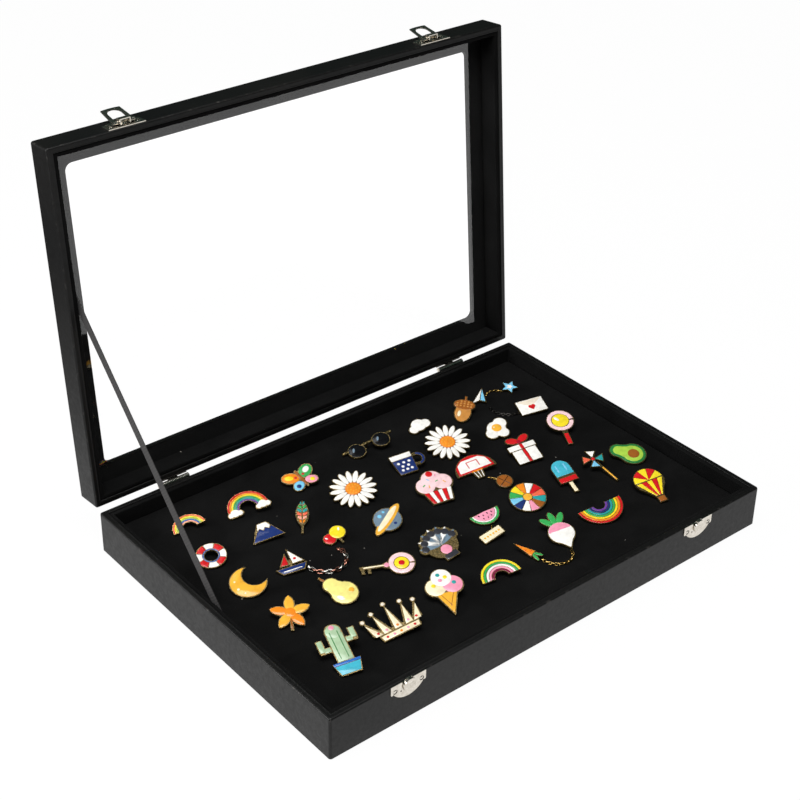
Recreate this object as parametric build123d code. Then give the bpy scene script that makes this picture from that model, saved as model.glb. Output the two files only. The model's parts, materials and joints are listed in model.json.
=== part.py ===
from build123d import *
import math
import os

# Glass-top display case for enamel pins, lid open, in millimetres.
# Origin: centre of the case's underside. +X along the long side, +Y to the hinges, +Z up.

# ---- Case ----
case_width = 350.0
case_depth = 240.0
base_height = 29.5
lid_height = 19.5
seam_gap = 0.3
corner_radius = 1.6
edge_radius = 1.2
lid_open_deg = 94.8

# ---- Sheet and board thicknesses ----
leatherette = 0.6
wall_board = 3.3
liner = 1.1
liner_drop = 0.2
felt = 0.8
felt_inset = 1.2
bottom_board = 2.5
top_board = 2.4

# ---- Pad ----
pad_clearance = 0.2
pad_board = 2.0
pad_top_drop = 10.0
velvet = 0.6
pad_edge_radius = 2.4
pad_round_share = 0.98

# ---- Window and glass ----
window_margin = 18.3
window_radius = 5.0
glass = 2.0
glass_clearance = 0.3

# ---- Nails and tacks ----
nail_radius = 0.6
nail_length = 3.4
nail_head_radius = 1.25
nail_head_height = 0.5
nail_hole_clearance = 0.1
tack_radius = 0.7
tack_length = 3.6
tack_head_radius = 2.4
tack_head_height = 0.8

# ---- Hinges ----
hinge_inset = 56.5
hinge_width = 22.5
hinge_leaf = 0.7
hinge_leaf_height = 10.0
hinge_axis_out = 2.0
hinge_axis_drop = 0.9
hinge_gap = 0.3
hinge_knuckle_gap = 0.25
hinge_pin_radius = 0.95
hinge_pin_clearance = 0.06
hinge_pin_overhang = 0.4
hinge_nail_spacing = 14.0
hinge_nail_reach = 7.0

# ---- Latches: plates ----
latch_inset = 56.5
latch_shift = -2.2
plate = 0.6
plate_width = 25.2
plate_height = 11.5
plate_ear = 2.0
plate_ear_radius = 0.9
plate_notch_radius = 0.3
plate_nail_offset = 9.5
plate_nail_drop = 4.4
dimple_radius = 1.6
dimple_depth = 0.3
catch_side = 6.2
catch_rim_drop = 0.3
catch_tab_width = 4.5
catch_tab_height = 1.2
catch_tab_gap = 0.3
latch_side = 9.0
latch_rim_rise = 1.0

# ---- Latches: bridge, lever and catch hook ----
bridge_width = 7.4
bridge_depth = 5.0
bridge_height = 4.0
bridge_sheet = 0.6
bridge_round = 1.6
pivot_rise = 5.5
pivot_out = 2.0
pivot_radius = 0.6
pivot_clearance = 0.05
knuckle_sheet = 0.65
knuckle_gap = 0.3
lever = 0.7
lever_length = 15.2
lever_near_width = 15.0
lever_far_width = 13.0
lever_bulge = 0.5
lever_bar = 1.4
lever_opening = 9.2
lever_lean_deg = 15.0
lever_stop_reach = 1.75
lever_stop_thickness = 0.5
lever_stop_gap = 0.08
hook_clearance = 0.4
hook_height = 1.8
hook_top_drop = 1.9
hook_lip = 0.5
press_hole_radius = 0.5
press_hole_offset = 5.3
press_hole_drop = 6.0

# ---- Stay strap ----
strap_width = 7.2
strap = 0.5
strap_gap = 0.1
strap_tail = 2.8
strap_hole_clearance = 0.2
strap_base_y = -4.1
strap_base_drop = 4.5
strap_lid_y = -24.8
strap_lid_rise = 5.9

# ---- Enamel pins, pushed in at a slant so that they face the front left ----
pin_unit = 1.0
pin_size = 1.14
pin_lean_deg = 14.0
pin_lean_axis = (0.77, -0.64, 0)
pin_plate = 1.4
pin_post_radius = 0.5
pin_post_length = 9.5
pin_post_point = 1.0
chain_width = 1.6
chain_height = 1.2

# ---- Derived places ----
lid_low = base_height + seam_gap
lid_high = lid_low + lid_height
wall = leatherette + wall_board
front_face = -case_depth / 2
back_face = case_depth / 2
panel_low = lid_high - leatherette - top_board
glass_low = panel_low - glass
pad_low = felt + bottom_board
pad_high = base_height - pad_top_drop
strap_wall = -case_width / 2 + wall + liner
hinge_offset = case_width / 2 - hinge_inset
latch_offset = case_width / 2 - latch_inset
hinge_y = back_face + hinge_axis_out
hinge_z = base_height - hinge_axis_drop
barrel_radius = hinge_axis_out - hinge_gap
core_corner = max(corner_radius - leatherette, 0.1)
core_edge = max(edge_radius - leatherette, 0.1)


# ---- General shapes ----
def block(width, depth, low, high, corner=0.0, round_low=0.0, round_high=0.0):
    """Rectangular block about the Z axis, with its upright corners and its rims rounded."""
    outline = RectangleRounded(width, depth, corner) if corner else Rectangle(width, depth)
    body = extrude(Pos(0, 0, low) * outline, high - low)
    if round_high:
        body = fillet(body.faces().sort_by(Axis.Z)[-1].edges(), round_high)
    if round_low:
        body = fillet(body.faces().sort_by(Axis.Z)[0].edges(), round_low)
    return body


def mitred(ring, low, high):
    """Cut a rectangular ring into its four sides along the 45 degree mitres."""
    half_w, half_d = case_width / 2, case_depth / 2
    front = make_face(Polyline(
        (-half_w, -half_d), (half_w, -half_d), (half_w - half_d, 0), (half_d - half_w, 0), close=True))
    left = make_face(Polyline((-half_w, -half_d), (half_d - half_w, 0), (-half_w, half_d), close=True))
    wedges = {
        "front": front,
        "back": mirror(front, Plane.XZ),
        "left": left,
        "right": mirror(left, Plane.YZ),
    }
    return {side: ring & extrude(Pos(0, 0, low) * face, high - low, dir=(0, 0, 1))
            for side, face in wedges.items()}


def along_x(radius, length, x=0.0):
    """Solid cylinder along the X axis, centred on x."""
    return Pos(x, 0, 0) * Rot(0, 90, 0) * Cylinder(radius, length)


def dome(radius, height):
    """Spherical cap standing on the XY plane."""
    ball = (radius**2 + height**2) / (2 * height)
    return Pos(0, 0, height - ball) * Sphere(ball) & extrude(Circle(radius * 2), height)


def nail(head_radius, head_height, shank_radius, length):
    """Domed nail driven down from the XY plane."""
    return dome(head_radius, head_height) + Pos(0, 0, -length / 2) * Cylinder(shank_radius, length)


def case_nail():
    return nail(nail_head_radius, nail_head_height, nail_radius, nail_length)


def opened(part):
    """Turn a part of the closed lid to its open place."""
    return Pos(0, hinge_y, hinge_z) * Rot(-lid_open_deg, 0, 0) * Pos(0, -hinge_y, -hinge_z) * part


# ---- Base ----
def base_shell():
    inner_w, inner_d = case_width - 2 * leatherette, case_depth - 2 * leatherette
    core = block(inner_w, inner_d, felt, base_height - leatherette, core_corner, round_high=core_edge)
    mouth = block(case_width - 2 * wall, case_depth - 2 * wall, felt, base_height)
    skin = block(case_width, case_depth, felt, base_height, corner_radius, round_high=edge_radius)
    walls = mitred(core - mouth, felt, base_height)
    parts = {f"base_{side}_wall": board for side, board in walls.items()}
    parts["base_leatherette"] = skin - core - mouth
    parts["base_bottom_panel"] = block(case_width - 2 * wall, case_depth - 2 * wall, felt, pad_low)
    parts["base_underside_felt"] = block(
        case_width - 2 * felt_inset, case_depth - 2 * felt_inset, 0, felt, corner_radius)
    return parts


def liner_strips(prefix, low, high):
    """Four velvet-covered strips against the inner faces of the walls."""
    width, depth = case_width - 2 * wall, case_depth - 2 * wall
    ring = block(width, depth, low, high) - block(width - 2 * liner, depth - 2 * liner, low, high)
    return {f"{prefix}_liner_{side}": strip for side, strip in mitred(ring, low, high).items()}


def pad():
    """Velvet cover over a foam block on a backing board."""
    inset = 2 * (wall + liner + pad_clearance)
    width, depth = case_width - inset, case_depth - inset
    inner_w, inner_d = width - 2 * velvet, depth - 2 * velvet
    inner_radius = max(pad_edge_radius - velvet, 0.1)
    cover = block(width, depth, pad_low, pad_high, pad_edge_radius, round_high=pad_edge_radius * pad_round_share)
    filling = block(inner_w, inner_d, pad_low, pad_high - velvet, inner_radius,
                    round_high=inner_radius * pad_round_share)
    board = block(inner_w, inner_d, pad_low, pad_low + pad_board, inner_radius)
    return {"pad_velvet": cover - filling, "pad_foam": filling - board, "pad_board": board}


# ---- Lid, made closed ----
def lid_shell():
    inner_w, inner_d = case_width - 2 * leatherette, case_depth - 2 * leatherette
    window_w, window_d = case_width - 2 * window_margin, case_depth - 2 * window_margin
    core = block(inner_w, inner_d, lid_low + leatherette, lid_high - leatherette, core_corner,
                 core_edge, core_edge)
    mouth = block(case_width - 2 * wall, case_depth - 2 * wall, lid_low, panel_low)
    cut_out = block(window_w + 2 * leatherette, window_d + 2 * leatherette, panel_low, lid_high,
                    window_radius + leatherette)
    window = block(window_w, window_d, panel_low, lid_high, window_radius)
    skin = block(case_width, case_depth, lid_low, lid_high, corner_radius, edge_radius, edge_radius)
    above = block(case_width, case_depth, panel_low, lid_high)
    walls = mitred(core - mouth - above, lid_low, lid_high)
    parts = {f"lid_{side}_wall": board for side, board in walls.items()}
    parts["lid_top_panel"] = (core & above) - cut_out
    parts["lid_leatherette"] = skin - core - mouth - cut_out + (cut_out - window)
    parts["window_glass"] = block(case_width - 2 * (wall + glass_clearance),
                                  case_depth - 2 * (wall + glass_clearance), glass_low, panel_low)
    return parts


# ---- Hinges, about an axis along X at the origin, lid closed ----
def leaf_plate(low, high):
    """Flat leaf against the case's back, with its nail holes."""
    inner = -hinge_axis_out
    sheet = Pos(0, inner + hinge_leaf / 2, (low + high) / 2) * Box(hinge_width, hinge_leaf, high - low)
    hole = Rot(90, 0, 0) * Cylinder(nail_radius + nail_hole_clearance, 6 * hinge_leaf)
    reach = math.copysign(hinge_nail_reach, low + high)
    for x in (-hinge_nail_spacing / 2, hinge_nail_spacing / 2):
        sheet -= Pos(x, inner, reach) * hole
    return sheet


def knuckle(x, length, bore):
    return along_x(barrel_radius, length, x) - along_x(bore, length + 1, x)


def hinge():
    """One butt hinge: base leaf, lid leaf, pin and the nails of both leaves."""
    knuckle_length = (hinge_width - 2 * hinge_knuckle_gap) / 3
    pitch = knuckle_length + hinge_knuckle_gap
    clear = barrel_radius + hinge_gap
    base = leaf_plate(-clear - hinge_leaf_height, -clear)
    for x in (-pitch, pitch):
        neck = Pos(x, hinge_leaf / 2 - hinge_axis_out, -clear / 2) * Box(knuckle_length, hinge_leaf, clear)
        base += knuckle(x, knuckle_length, hinge_pin_radius) + neck
    base -= along_x(hinge_pin_radius, hinge_width + 1)
    lid = leaf_plate(clear, clear + hinge_leaf_height)
    bore = hinge_pin_radius + hinge_pin_clearance
    tongue_height = clear + hinge_leaf
    tongue = Pos(0, hinge_leaf / 2 - barrel_radius, tongue_height / 2) * Box(
        knuckle_length, hinge_leaf, tongue_height)
    lid += knuckle(0, knuckle_length, bore) + tongue - along_x(bore, knuckle_length + 1)
    pin = along_x(hinge_pin_radius, hinge_width + 2 * hinge_pin_overhang)
    nails = {"base": [], "lid": []}
    for side, reach in (("base", -hinge_nail_reach), ("lid", hinge_nail_reach)):
        for x in (-hinge_nail_spacing / 2, hinge_nail_spacing / 2):
            face = Pos(x, hinge_leaf - hinge_axis_out, reach) * Rot(-90, 0, 0)
            nails[side].append(face * case_nail())
    return base, lid, pin, nails


# ---- Latches, in the plane of the front: X along, Y up, Z out of the face ----
def boat_plate(side_height):
    """Pressed plate with a straight top edge, upright ears and a bowed belly."""
    half = plate_width / 2
    belly = half - plate_ear
    outline = make_face(
        Polyline((belly, -side_height), (half, -side_height), (half, 0), (-half, 0),
                 (-half, -side_height), (-belly, -side_height))
        + ThreePointArc((-belly, -side_height), (0, -plate_height), (belly, -side_height)))
    ears = outline.vertices().filter_by(lambda v: abs(v.X) > belly + plate_ear / 2).sort_by(Axis.Y)[:2]
    outline = fillet(ears, plate_ear_radius)
    for x in (-belly, belly):
        outline -= Pos(x, -side_height) * Circle(plate_notch_radius)
    sheet = extrude(outline, plate)
    for x in (-plate_nail_offset, plate_nail_offset):
        seat = Pos(x, -plate_nail_drop)
        sheet -= seat * Cylinder(nail_radius + nail_hole_clearance, 3 * plate)
        sheet -= seat * Pos(0, 0, plate) * Cylinder(dimple_radius, 2 * dimple_depth)
    return sheet


def plate_nails(y):
    """The two nails of a plate, seated in its dimples at height y."""
    return [Pos(x, y, plate - dimple_depth) * case_nail() for x in (-plate_nail_offset, plate_nail_offset)]


def d_outline(width, straight_top, arc_centre):
    """Straight-sided outline that ends below in a half circle."""
    height = straight_top - arc_centre
    return Pos(0, arc_centre + height / 2) * Rectangle(width, height) + Pos(0, arc_centre) * Circle(width / 2)


def catch_plate():
    """Base plate with the pressed hook that the lever snaps over, top edge at y = 0."""
    bar_reach = lever_length - lever_bar - lever_opening / 2
    arc_centre = pivot_rise - bar_reach + seam_gap + catch_rim_drop
    hook_top = catch_rim_drop - hook_top_drop
    hook = extrude(d_outline(lever_opening - 2 * hook_clearance, hook_top, arc_centre), plate + hook_height)
    crest = arc_centre - lever_opening / 4
    ramp = make_face(Polyline(
        (crest, plate + hook_height), (hook_top, plate + hook_lip),
        (hook_top, plate + 2 * hook_height), (crest, plate + 2 * hook_height), close=True))
    hook -= extrude(Plane.YZ * ramp, plate_width / 2, both=True)
    hole = Pos(-press_hole_offset, -press_hole_drop) * Cylinder(press_hole_radius, 3 * plate)
    tab = Pos(0, 0, catch_tab_gap) * extrude(
        Rectangle(catch_tab_width, 2 * catch_tab_height), plate)
    return boat_plate(catch_side) + hook + tab - hole


def bridge():
    """Raised strap over the lever's pivot pin, open towards the rim and away from it."""
    top = plate + bridge_height
    side = Pos(pivot_rise, top / 2) * Rectangle(bridge_depth, top)
    shell = extrude(Plane.YZ * side, bridge_width / 2, both=True)
    crown = shell.faces().sort_by(Axis.Z)[-1].edges().sort_by(Axis.Y)[-1]
    shell = fillet(crown, bridge_round)
    crown_sides = shell.faces().sort_by(Axis.Z)[-1].edges().filter_by(Axis.Y)
    shell = fillet(crown_sides, bridge_sheet / 2)
    tunnel = Pos(0, pivot_rise, (top - bridge_sheet) / 2) * Box(
        bridge_width - 2 * bridge_sheet, 2 * bridge_depth, top - bridge_sheet)
    pin_hole = Pos(0, pivot_rise, pivot_out) * along_x(pivot_radius + pivot_clearance, plate_width / 2)
    return shell - tunnel - pin_hole


def latch_plate():
    """Lid plate with its bridge, rim plane of the lid at y = 0."""
    flipped = Pos(0, latch_rim_rise) * mirror(boat_plate(latch_side), Plane.XZ)
    return flipped + bridge()


def latch_lever():
    """Lever about its pivot at the origin, pointing up and leaning out of the face."""
    near, far = lever_near_width / 2, lever_far_width / 2
    outline = make_face(
        Polyline((far, lever_length), (near, 0), (-near, 0), (-far, lever_length))
        + ThreePointArc((-far, lever_length), (0, lever_length + lever_bulge), (far, lever_length)))
    arc_centre = lever_length - lever_bar - lever_opening / 2
    opening = Pos(0, arc_centre / 2) * Rectangle(lever_opening, arc_centre) + Pos(0, arc_centre) * Circle(
        lever_opening / 2)
    blade = extrude(outline - opening, lever / 2, both=True)
    inner = bridge_width / 2 + knuckle_gap
    length = near - inner
    lean = Rot(lever_lean_deg, 0, 0)
    half = lever_stop_thickness / 2
    corner = math.hypot(lever_stop_reach, half)
    contact = math.acos((pivot_out - plate - lever_stop_gap) / corner)
    stop_angle = math.degrees(contact + math.atan2(half, lever_stop_reach))
    body = lean * blade
    for x in (-inner - length / 2, inner + length / 2):
        eye = along_x(pivot_radius + knuckle_sheet, length, x)
        nib = Pos(x, 0, 0) * Rot(stop_angle, 0, 0) * Pos(0, 0, -lever_stop_reach / 2) * Box(
            length, lever_stop_thickness, lever_stop_reach)
        body += eye + nib
    return body - along_x(pivot_radius, lever_near_width + 1)


def pivot_pin():
    return along_x(pivot_radius, lever_near_width)


def on_front(part, x, z):
    """Place a latch piece on the front face, with its y = 0 at height z."""
    return Pos(x, front_face, z) * Rot(90, 0, 0) * part


# ---- Stay strap ----
def stay_parts():
    """Ribbon from the base to the open lid, and the tack at each end."""
    base_y, base_z = strap_base_y, base_height - strap_base_drop
    tack_x = strap_wall + 2 * strap_gap + strap
    seat = Rot(0, 90, 0) * nail(tack_head_radius, tack_head_height, tack_radius, tack_length)
    base_tack = Pos(tack_x, base_y, base_z) * seat
    lid_tack = opened(Pos(tack_x, strap_lid_y, lid_low + strap_lid_rise) * seat)
    lid_end = opened(Pos(0, strap_lid_y, lid_low + strap_lid_rise) * Vertex(0, 0, 0)).center()
    run = Vector(0, lid_end.Y - base_y, lid_end.Z - base_z)
    flat = Rectangle(run.length + 2 * strap_tail, strap_width)
    for x in (-run.length / 2, run.length / 2):
        flat -= Pos(x, 0) * Circle(tack_radius + strap_hole_clearance)
    middle = Plane(origin=(strap_wall + strap_gap, base_y + run.Y / 2, base_z + run.Z / 2),
                   x_dir=(0, run.Y, run.Z), z_dir=(1, 0, 0))
    ribbon = extrude(middle * flat, strap)
    return {"strap_base_tack": base_tack, "strap_lid_tack": lid_tack, "stay_strap": ribbon}


# ---- Outlines of the enamel pins, about each one's own centre ----
def oval(rx, ry, x=0.0, y=0.0, turn=0.0):
    return Pos(x, y) * Rot(0, 0, turn) * Ellipse(rx, ry)


def disc(radius, x=0.0, y=0.0):
    return Pos(x, y) * Circle(radius)


def bar(width, height, x=0.0, y=0.0, turn=0.0):
    return Pos(x, y) * Rot(0, 0, turn) * Rectangle(width, height)


def polygon(*points):
    return make_face(Polyline(*points, close=True))


def lens(length, width):
    """Pointed oval along Y."""
    tip = length / 2
    return make_face(ThreePointArc((0, -tip), (width / 2, 0), (0, tip))
                     + ThreePointArc((0, tip), (-width / 2, 0), (0, -tip)))


def around(count, shape, reach, first=90.0):
    """Copies of a shape that points along +Y, set in a circle."""
    copies = [Rot(0, 0, first - 90 + 360 * i / count) * Pos(0, reach) * shape for i in range(count)]
    return copies[0].fuse(*copies[1:])


def arch(outer, inner):
    """Half ring standing on the X axis."""
    return (Circle(outer) - Circle(inner)) & Pos(0, outer / 2) * Rectangle(2 * outer, outer)


def star(reach, waist, points=5):
    ends = [(r * math.sin(math.pi * i / points), r * math.cos(math.pi * i / points))
            for i in range(2 * points) for r in ([reach, waist][i % 2],)]
    return polygon(*ends)


def cloud(size):
    return disc(size * 0.36) + disc(size * 0.24, -size * 0.32, -size * 0.1) + disc(
        size * 0.26, size * 0.3, -size * 0.08)


def crescent(radius, bite, shift):
    return Circle(radius) - Pos(shift, shift * 0.6) * Circle(bite)


def tapered(low, high, height):
    """Symmetric trapezium about the origin."""
    return polygon((-low / 2, -height / 2), (low / 2, -height / 2), (high / 2, height / 2),
                   (-high / 2, height / 2))


def daisy():
    return around(16, Ellipse(2.0, 5.0), 9.0) + disc(5.5)


def butterfly():
    wings = oval(5.6, 4.2, 5.2, 3.4, 35) + oval(4.2, 3.4, 4.4, -4.0, -30)
    return wings + mirror(wings, Plane.YZ) + Ellipse(1.5, 7.4)


def feather():
    return lens(19, 7.5) + bar(1.2, 8, 0, -10)


def sailboat():
    hull = polygon((-9, -3.5), (9, -3.5), (6, -8), (-6, -8))
    return hull + polygon((0.8, -2.6), (0.8, 8.5), (8, -2.6)) + polygon(
        (-0.8, -2.6), (-0.8, 6), (-6.5, -2.6)) + bar(1.6, 6, 0, -2)


def balloons():
    return disc(4.8, 2.6, 0.8) + disc(3.9, -3.6, -0.6) + bar(1.2, 5, 1.0, -4.5)


def sunglasses():
    return disc(5.6, -8.6, 0) + disc(5.6, 8.6, 0) + bar(8, 1.4, 0, 2.4) + bar(4, 1.4, -15.4, 2.4) + bar(
        4, 1.4, 15.4, 2.4)


def mug():
    return tapered(11.5, 14, 16) + (disc(5.0, 8.4, 0.6) - disc(2.9, 8.4, 0.6))


def cupcake():
    top = disc(6.2, -5.2, 3.2) + disc(6.2, 5.2, 3.2) + disc(6.8, 0, 7.2)
    return tapered(13, 18, 11).moved(Location((0, -5.5))) + top


def planet():
    return disc(8.4) + oval(13.2, 3.6, 0, 0, 24)


def scallop():
    ribs = [Pos(9.6 * math.sin(t), 9.6 * math.cos(t) - 4) * Circle(3.4)
            for t in (math.radians(a) for a in range(-72, 73, 24))]
    return disc(9.6, 0, -3).fuse(*ribs) + bar(9, 4.5, 0, -12)


def crown():
    points = (-15, -8.5, 0, 8.5, 15)
    band = polygon((-11, -9), (11, -9), (12, -3), (-12, -3))
    tips = (7, 9.5, 12, 9.5, 7)
    for x, top in zip(points, tips):
        foot = x * 0.75
        band += polygon((foot - 3, -4), (foot + 3, -4), (x, top))
        band += disc(1.5, x, top)
    return band


def key():
    return disc(7.5, 8) + bar(18, 2.0, -6) + bar(1.8, 4, -13.5, -2) + bar(1.8, 4, -10, -2) + disc(
        2.2, -0.2, 0)


def magnifier():
    return disc(8.6, 0, 3) + bar(3.4, 13, 0, -10.5)


def pear():
    return disc(7.6, 0, -4) + disc(4.8, 0, 4.6) + tapered(13.6, 8.6, 8).moved(Location((0, 0.6))) + bar(
        1.4, 5, 0, 10.5)


def cactus():
    body = bar(9, 20, 0, 2) + disc(4.5, 0, 12)
    arms = bar(7, 3.6, -7, 2) + bar(3.6, 8, -9, 5) + bar(7, 3.6, 7, 5) + bar(3.6, 7, 9, 8)
    return body + arms + tapered(11, 15, 8).moved(Location((0, -11)))


def ice_cream():
    cone = polygon((-6.6, 0), (6.6, 0), (0, -16))
    return cone + disc(6.0, -4.6, 3.6) + disc(6.0, 4.6, 3.6) + disc(6.0, 0, 9.2)


def rainbow_on_clouds():
    return arch(12, 5) + cloud(8.5).moved(Location((-8.4, -1))) + cloud(8.5).moved(Location((8.4, -1)))


def mountain():
    return polygon((-9.6, -6), (9.6, -6), (3, 6.4), (-2.6, 6.4))


def autumn_leaf():
    lobes = around(5, lens(12, 6), 5.2, 90)
    return lobes + bar(1.6, 9, 0, -7) + disc(3.4)


def backboard():
    return (disc(13, 0, -6) & bar(26, 14, 0, 1)) + tapered(4.5, 7.5, 6).moved(Location((0, -8.5)))


def acorn():
    return oval(5.4, 8.2, 0, -3) + oval(7.0, 4.6, 0, 3.6) + bar(1.8, 5, 0, 8.6)


def paper_plane():
    return polygon((-7, -1.5), (7.5, 5.5), (1.5, -6), (-1.2, -2.4))


def fried_egg():
    return disc(6.4) + disc(4.6, 4.6, 2.4) + disc(4.4, -4.6, -1.6) + disc(4.0, 1.4, -4.8)


def gift_box():
    bow = oval(4.4, 2.8, -3.6, 9.6, -25) + oval(4.4, 2.8, 3.6, 9.6, 25)
    return bar(16, 11, 0, -3.5) + bar(18, 4.6, 0, 3.8) + bow + disc(1.8, 0, 7.6)


def ice_lolly():
    return bar(12, 11, 0, 1.5) + disc(6, 0, 7) + bar(3, 9, 0, -8)


def avocado():
    return disc(8.2, 0, -3) + disc(5.2, 0, 6.0) + tapered(14.6, 9.4, 9).moved(Location((0, 2.2)))


def air_balloon():
    return disc(9.2, 0, 4) + tapered(4.6, 14.2, 8).moved(Location((0, -5))) + bar(5, 4.6, 0, -10.8)


def turnip():
    leaves = oval(2.3, 5, 0, 10) + oval(2.2, 4.6, -4, 8.6, 38) + oval(2.2, 4.6, 4, 8.6, -38)
    return disc(7.8, 0, -1) + polygon((-5, -6.2), (5, -6.2), (0, -13)) + leaves


def carrot():
    return polygon((-8.5, 0), (4.5, 2.6), (4.5, -2.6)) + oval(3.2, 1.2, 6.2, 1.2, 20) + oval(
        3.2, 1.2, 6.2, -1.2, -20)


def melon_slice():
    return Circle(9.4) & Pos(0, -4.7) * Rectangle(20, 9.4)


def pinwheel():
    blades = around(4, polygon((0, 0), (0, 7.6), (5.6, 3.8)), 0.0)
    return blades + disc(1.6) + bar(1.5, 18, 0, -12)


# Each pin: its outline, its place on the pad, its turn and where its post stands.
def pin_groups():
    return {
        "pins_rainbows": [
            (arch(9.8, 4.2), -133.6, 79.9, -6, (0, 7)),
            (rainbow_on_clouds(), -93.0, 74.2, -12, (0, 8.5)),
            (arch(11.8, 4.0), -12.4, -79.0, -12, (0, 8)),
            (arch(14.0, 3.6), 84.6, -64.0, 170, (0, 9)),
        ],
        "pins_daisies": [
            (daisy(), -28.8, 47.3, 0, (0, 0)),
            (daisy(), 55.5, 51.3, 12, (0, 0)),
        ],
        "pins_sky": [
            (mountain(), -99.6, 46.4, -12, (0, 0)),
            (crescent(10.2, 7.0, 5.2), -137.1, 10.9, -12, (-6, -3.4)),
            (planet(), -32.0, 7.9, 0, (0, 0)),
            (cloud(14.0), 55.2, 81.7, 0, (0, 0)),
            (star(5.8, 2.9), 139.9, 80.8, 10, (0, 0)),
        ],
        "pins_plants": [
            (autumn_leaf(), -134.4, -28.2, -30, (0, 0)),
            (cactus(), -132.0, -74.2, -16, (0, 0)),
            (pear(), -98.7, -28.0, 18, (0, -3)),
            (turnip(), 45.6, -69.5, -14, (0, 0)),
            (carrot(), 16.7, -69.1, -73, (1, 0)),
            (acorn(), 92.5, 77.0, -50, (0, 0)),
            (avocado(), 144.4, -32.5, 35, (0, 0)),
        ],
        "pins_sweets": [
            (mug(), 17.0, 50.7, -14, (0, 0)),
            (cupcake(), 14.5, 14.6, -16, (0, 0)),
            (ice_cream(), -50.7, -71.2, -22, (0, 0)),
            (fried_egg(), 94.4, 44.5, 0, (0, 0)),
            (ice_lolly(), 91.1, -28.2, -14, (0, 0)),
            (melon_slice(), 21.8, -22.8, -8, (0, -4)),
        ],
        "pins_toys": [
            (Circle(8.6) - Circle(3.8), -139.8, 46.8, 0, (0, 6)),
            (sailboat(), -105.7, 12.3, -16, (0, -4)),
            (balloons(), -67.4, 17.0, 0, (2, 1)),
            (Circle(10.8), 55.2, -28.9, 0, (0, 0)),
            (backboard(), 51.9, 21.4, -12, (0, 0)),
            (Circle(5.0), 57.2, -4.5, 0, (0, 0)),
            (pinwheel(), 118.0, -25.5, 0, (0, 0)),
            (air_balloon(), 128.2, -70.5, -14, (0, 2)),
        ],
        "pins_keepsakes": [
            (crown(), -91.7, -72.5, -8, (0, -6)),
            (key(), -60.5, -27.0, -28, (4, 0)),
            (magnifier(), 131.6, 18.5, -24, (0, 2)),
            (RectangleRounded(18, 12, 1.2), 133.9, 51.3, -18, (0, 0)),
            (gift_box(), 90.2, 11.6, -14, (0, 0)),
            (sunglasses(), 12.0, 82.4, -4, (0, 2.4)),
            (RectangleRounded(15, 6.4, 1.0), 10.9, -43.5, 0, (0, 0)),
            (paper_plane(), 112.3, 83.4, 0, (0, 0)),
        ],
        "pins_wings": [
            (butterfly(), -47.3, 79.2, 0, (0, 0)),
            (feather(), -71.2, 45.7, -36, (0, 0)),
            (scallop(), -22.0, -29.3, 0, (0, -2)),
        ],
    }


def pin_solid(outline, x, y, turn, post):
    """Cast plate leaning on the pad, with a pointed post through the velvet into the foam."""
    px, py = post[0] * pin_size, post[1] * pin_size
    shank = pin_post_length - pin_post_point
    post_solid = Pos(px, py, -shank / 2) * Cylinder(pin_post_radius, shank)
    tip = Pos(px, py, -shank - pin_post_point / 2) * Cone(pin_post_radius / 4, pin_post_radius, pin_post_point)
    lean = Axis((0, 0, 0), pin_lean_axis)
    cast = Rot(0, 0, turn) * extrude(scale(outline, by=pin_size), pin_plate)
    lowest = cast.rotate(lean, pin_lean_deg).bounding_box().min.Z
    whole = cast + Rot(0, 0, turn) * (post_solid + tip)
    return Pos(x * pin_unit, y * pin_unit, pad_high - lowest) * whole.rotate(lean, pin_lean_deg)


def chain_runs():
    """Short chains that lie on the pad between two pins, each along one arc."""
    runs = [
        ((-98.0, 2.8), (-88.4, -9.4), (-72.0, 5.5)),
        ((20.2, -80.4), (28.0, -91.0), (40.6, -85.0)),
        ((121.5, 85.5), (127.0, 87.2), (133.0, 83.0)),
        ((122.5, 53.5), (113.5, 58.0), (111.8, 70.0)),
        ((53.5, 6.5), (55.8, 4.0), (56.4, 1.4)),
        ((19.5, -34.4), (17.8, -36.0), (17.0, -39.2)),
    ]
    strips = []
    for run in runs:
        strip = trace(ThreePointArc(*[(x * pin_unit, y * pin_unit) for x, y in run]), chain_width)
        strips.append(extrude(Pos(0, 0, pad_high) * strip, chain_height))
    return strips


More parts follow.
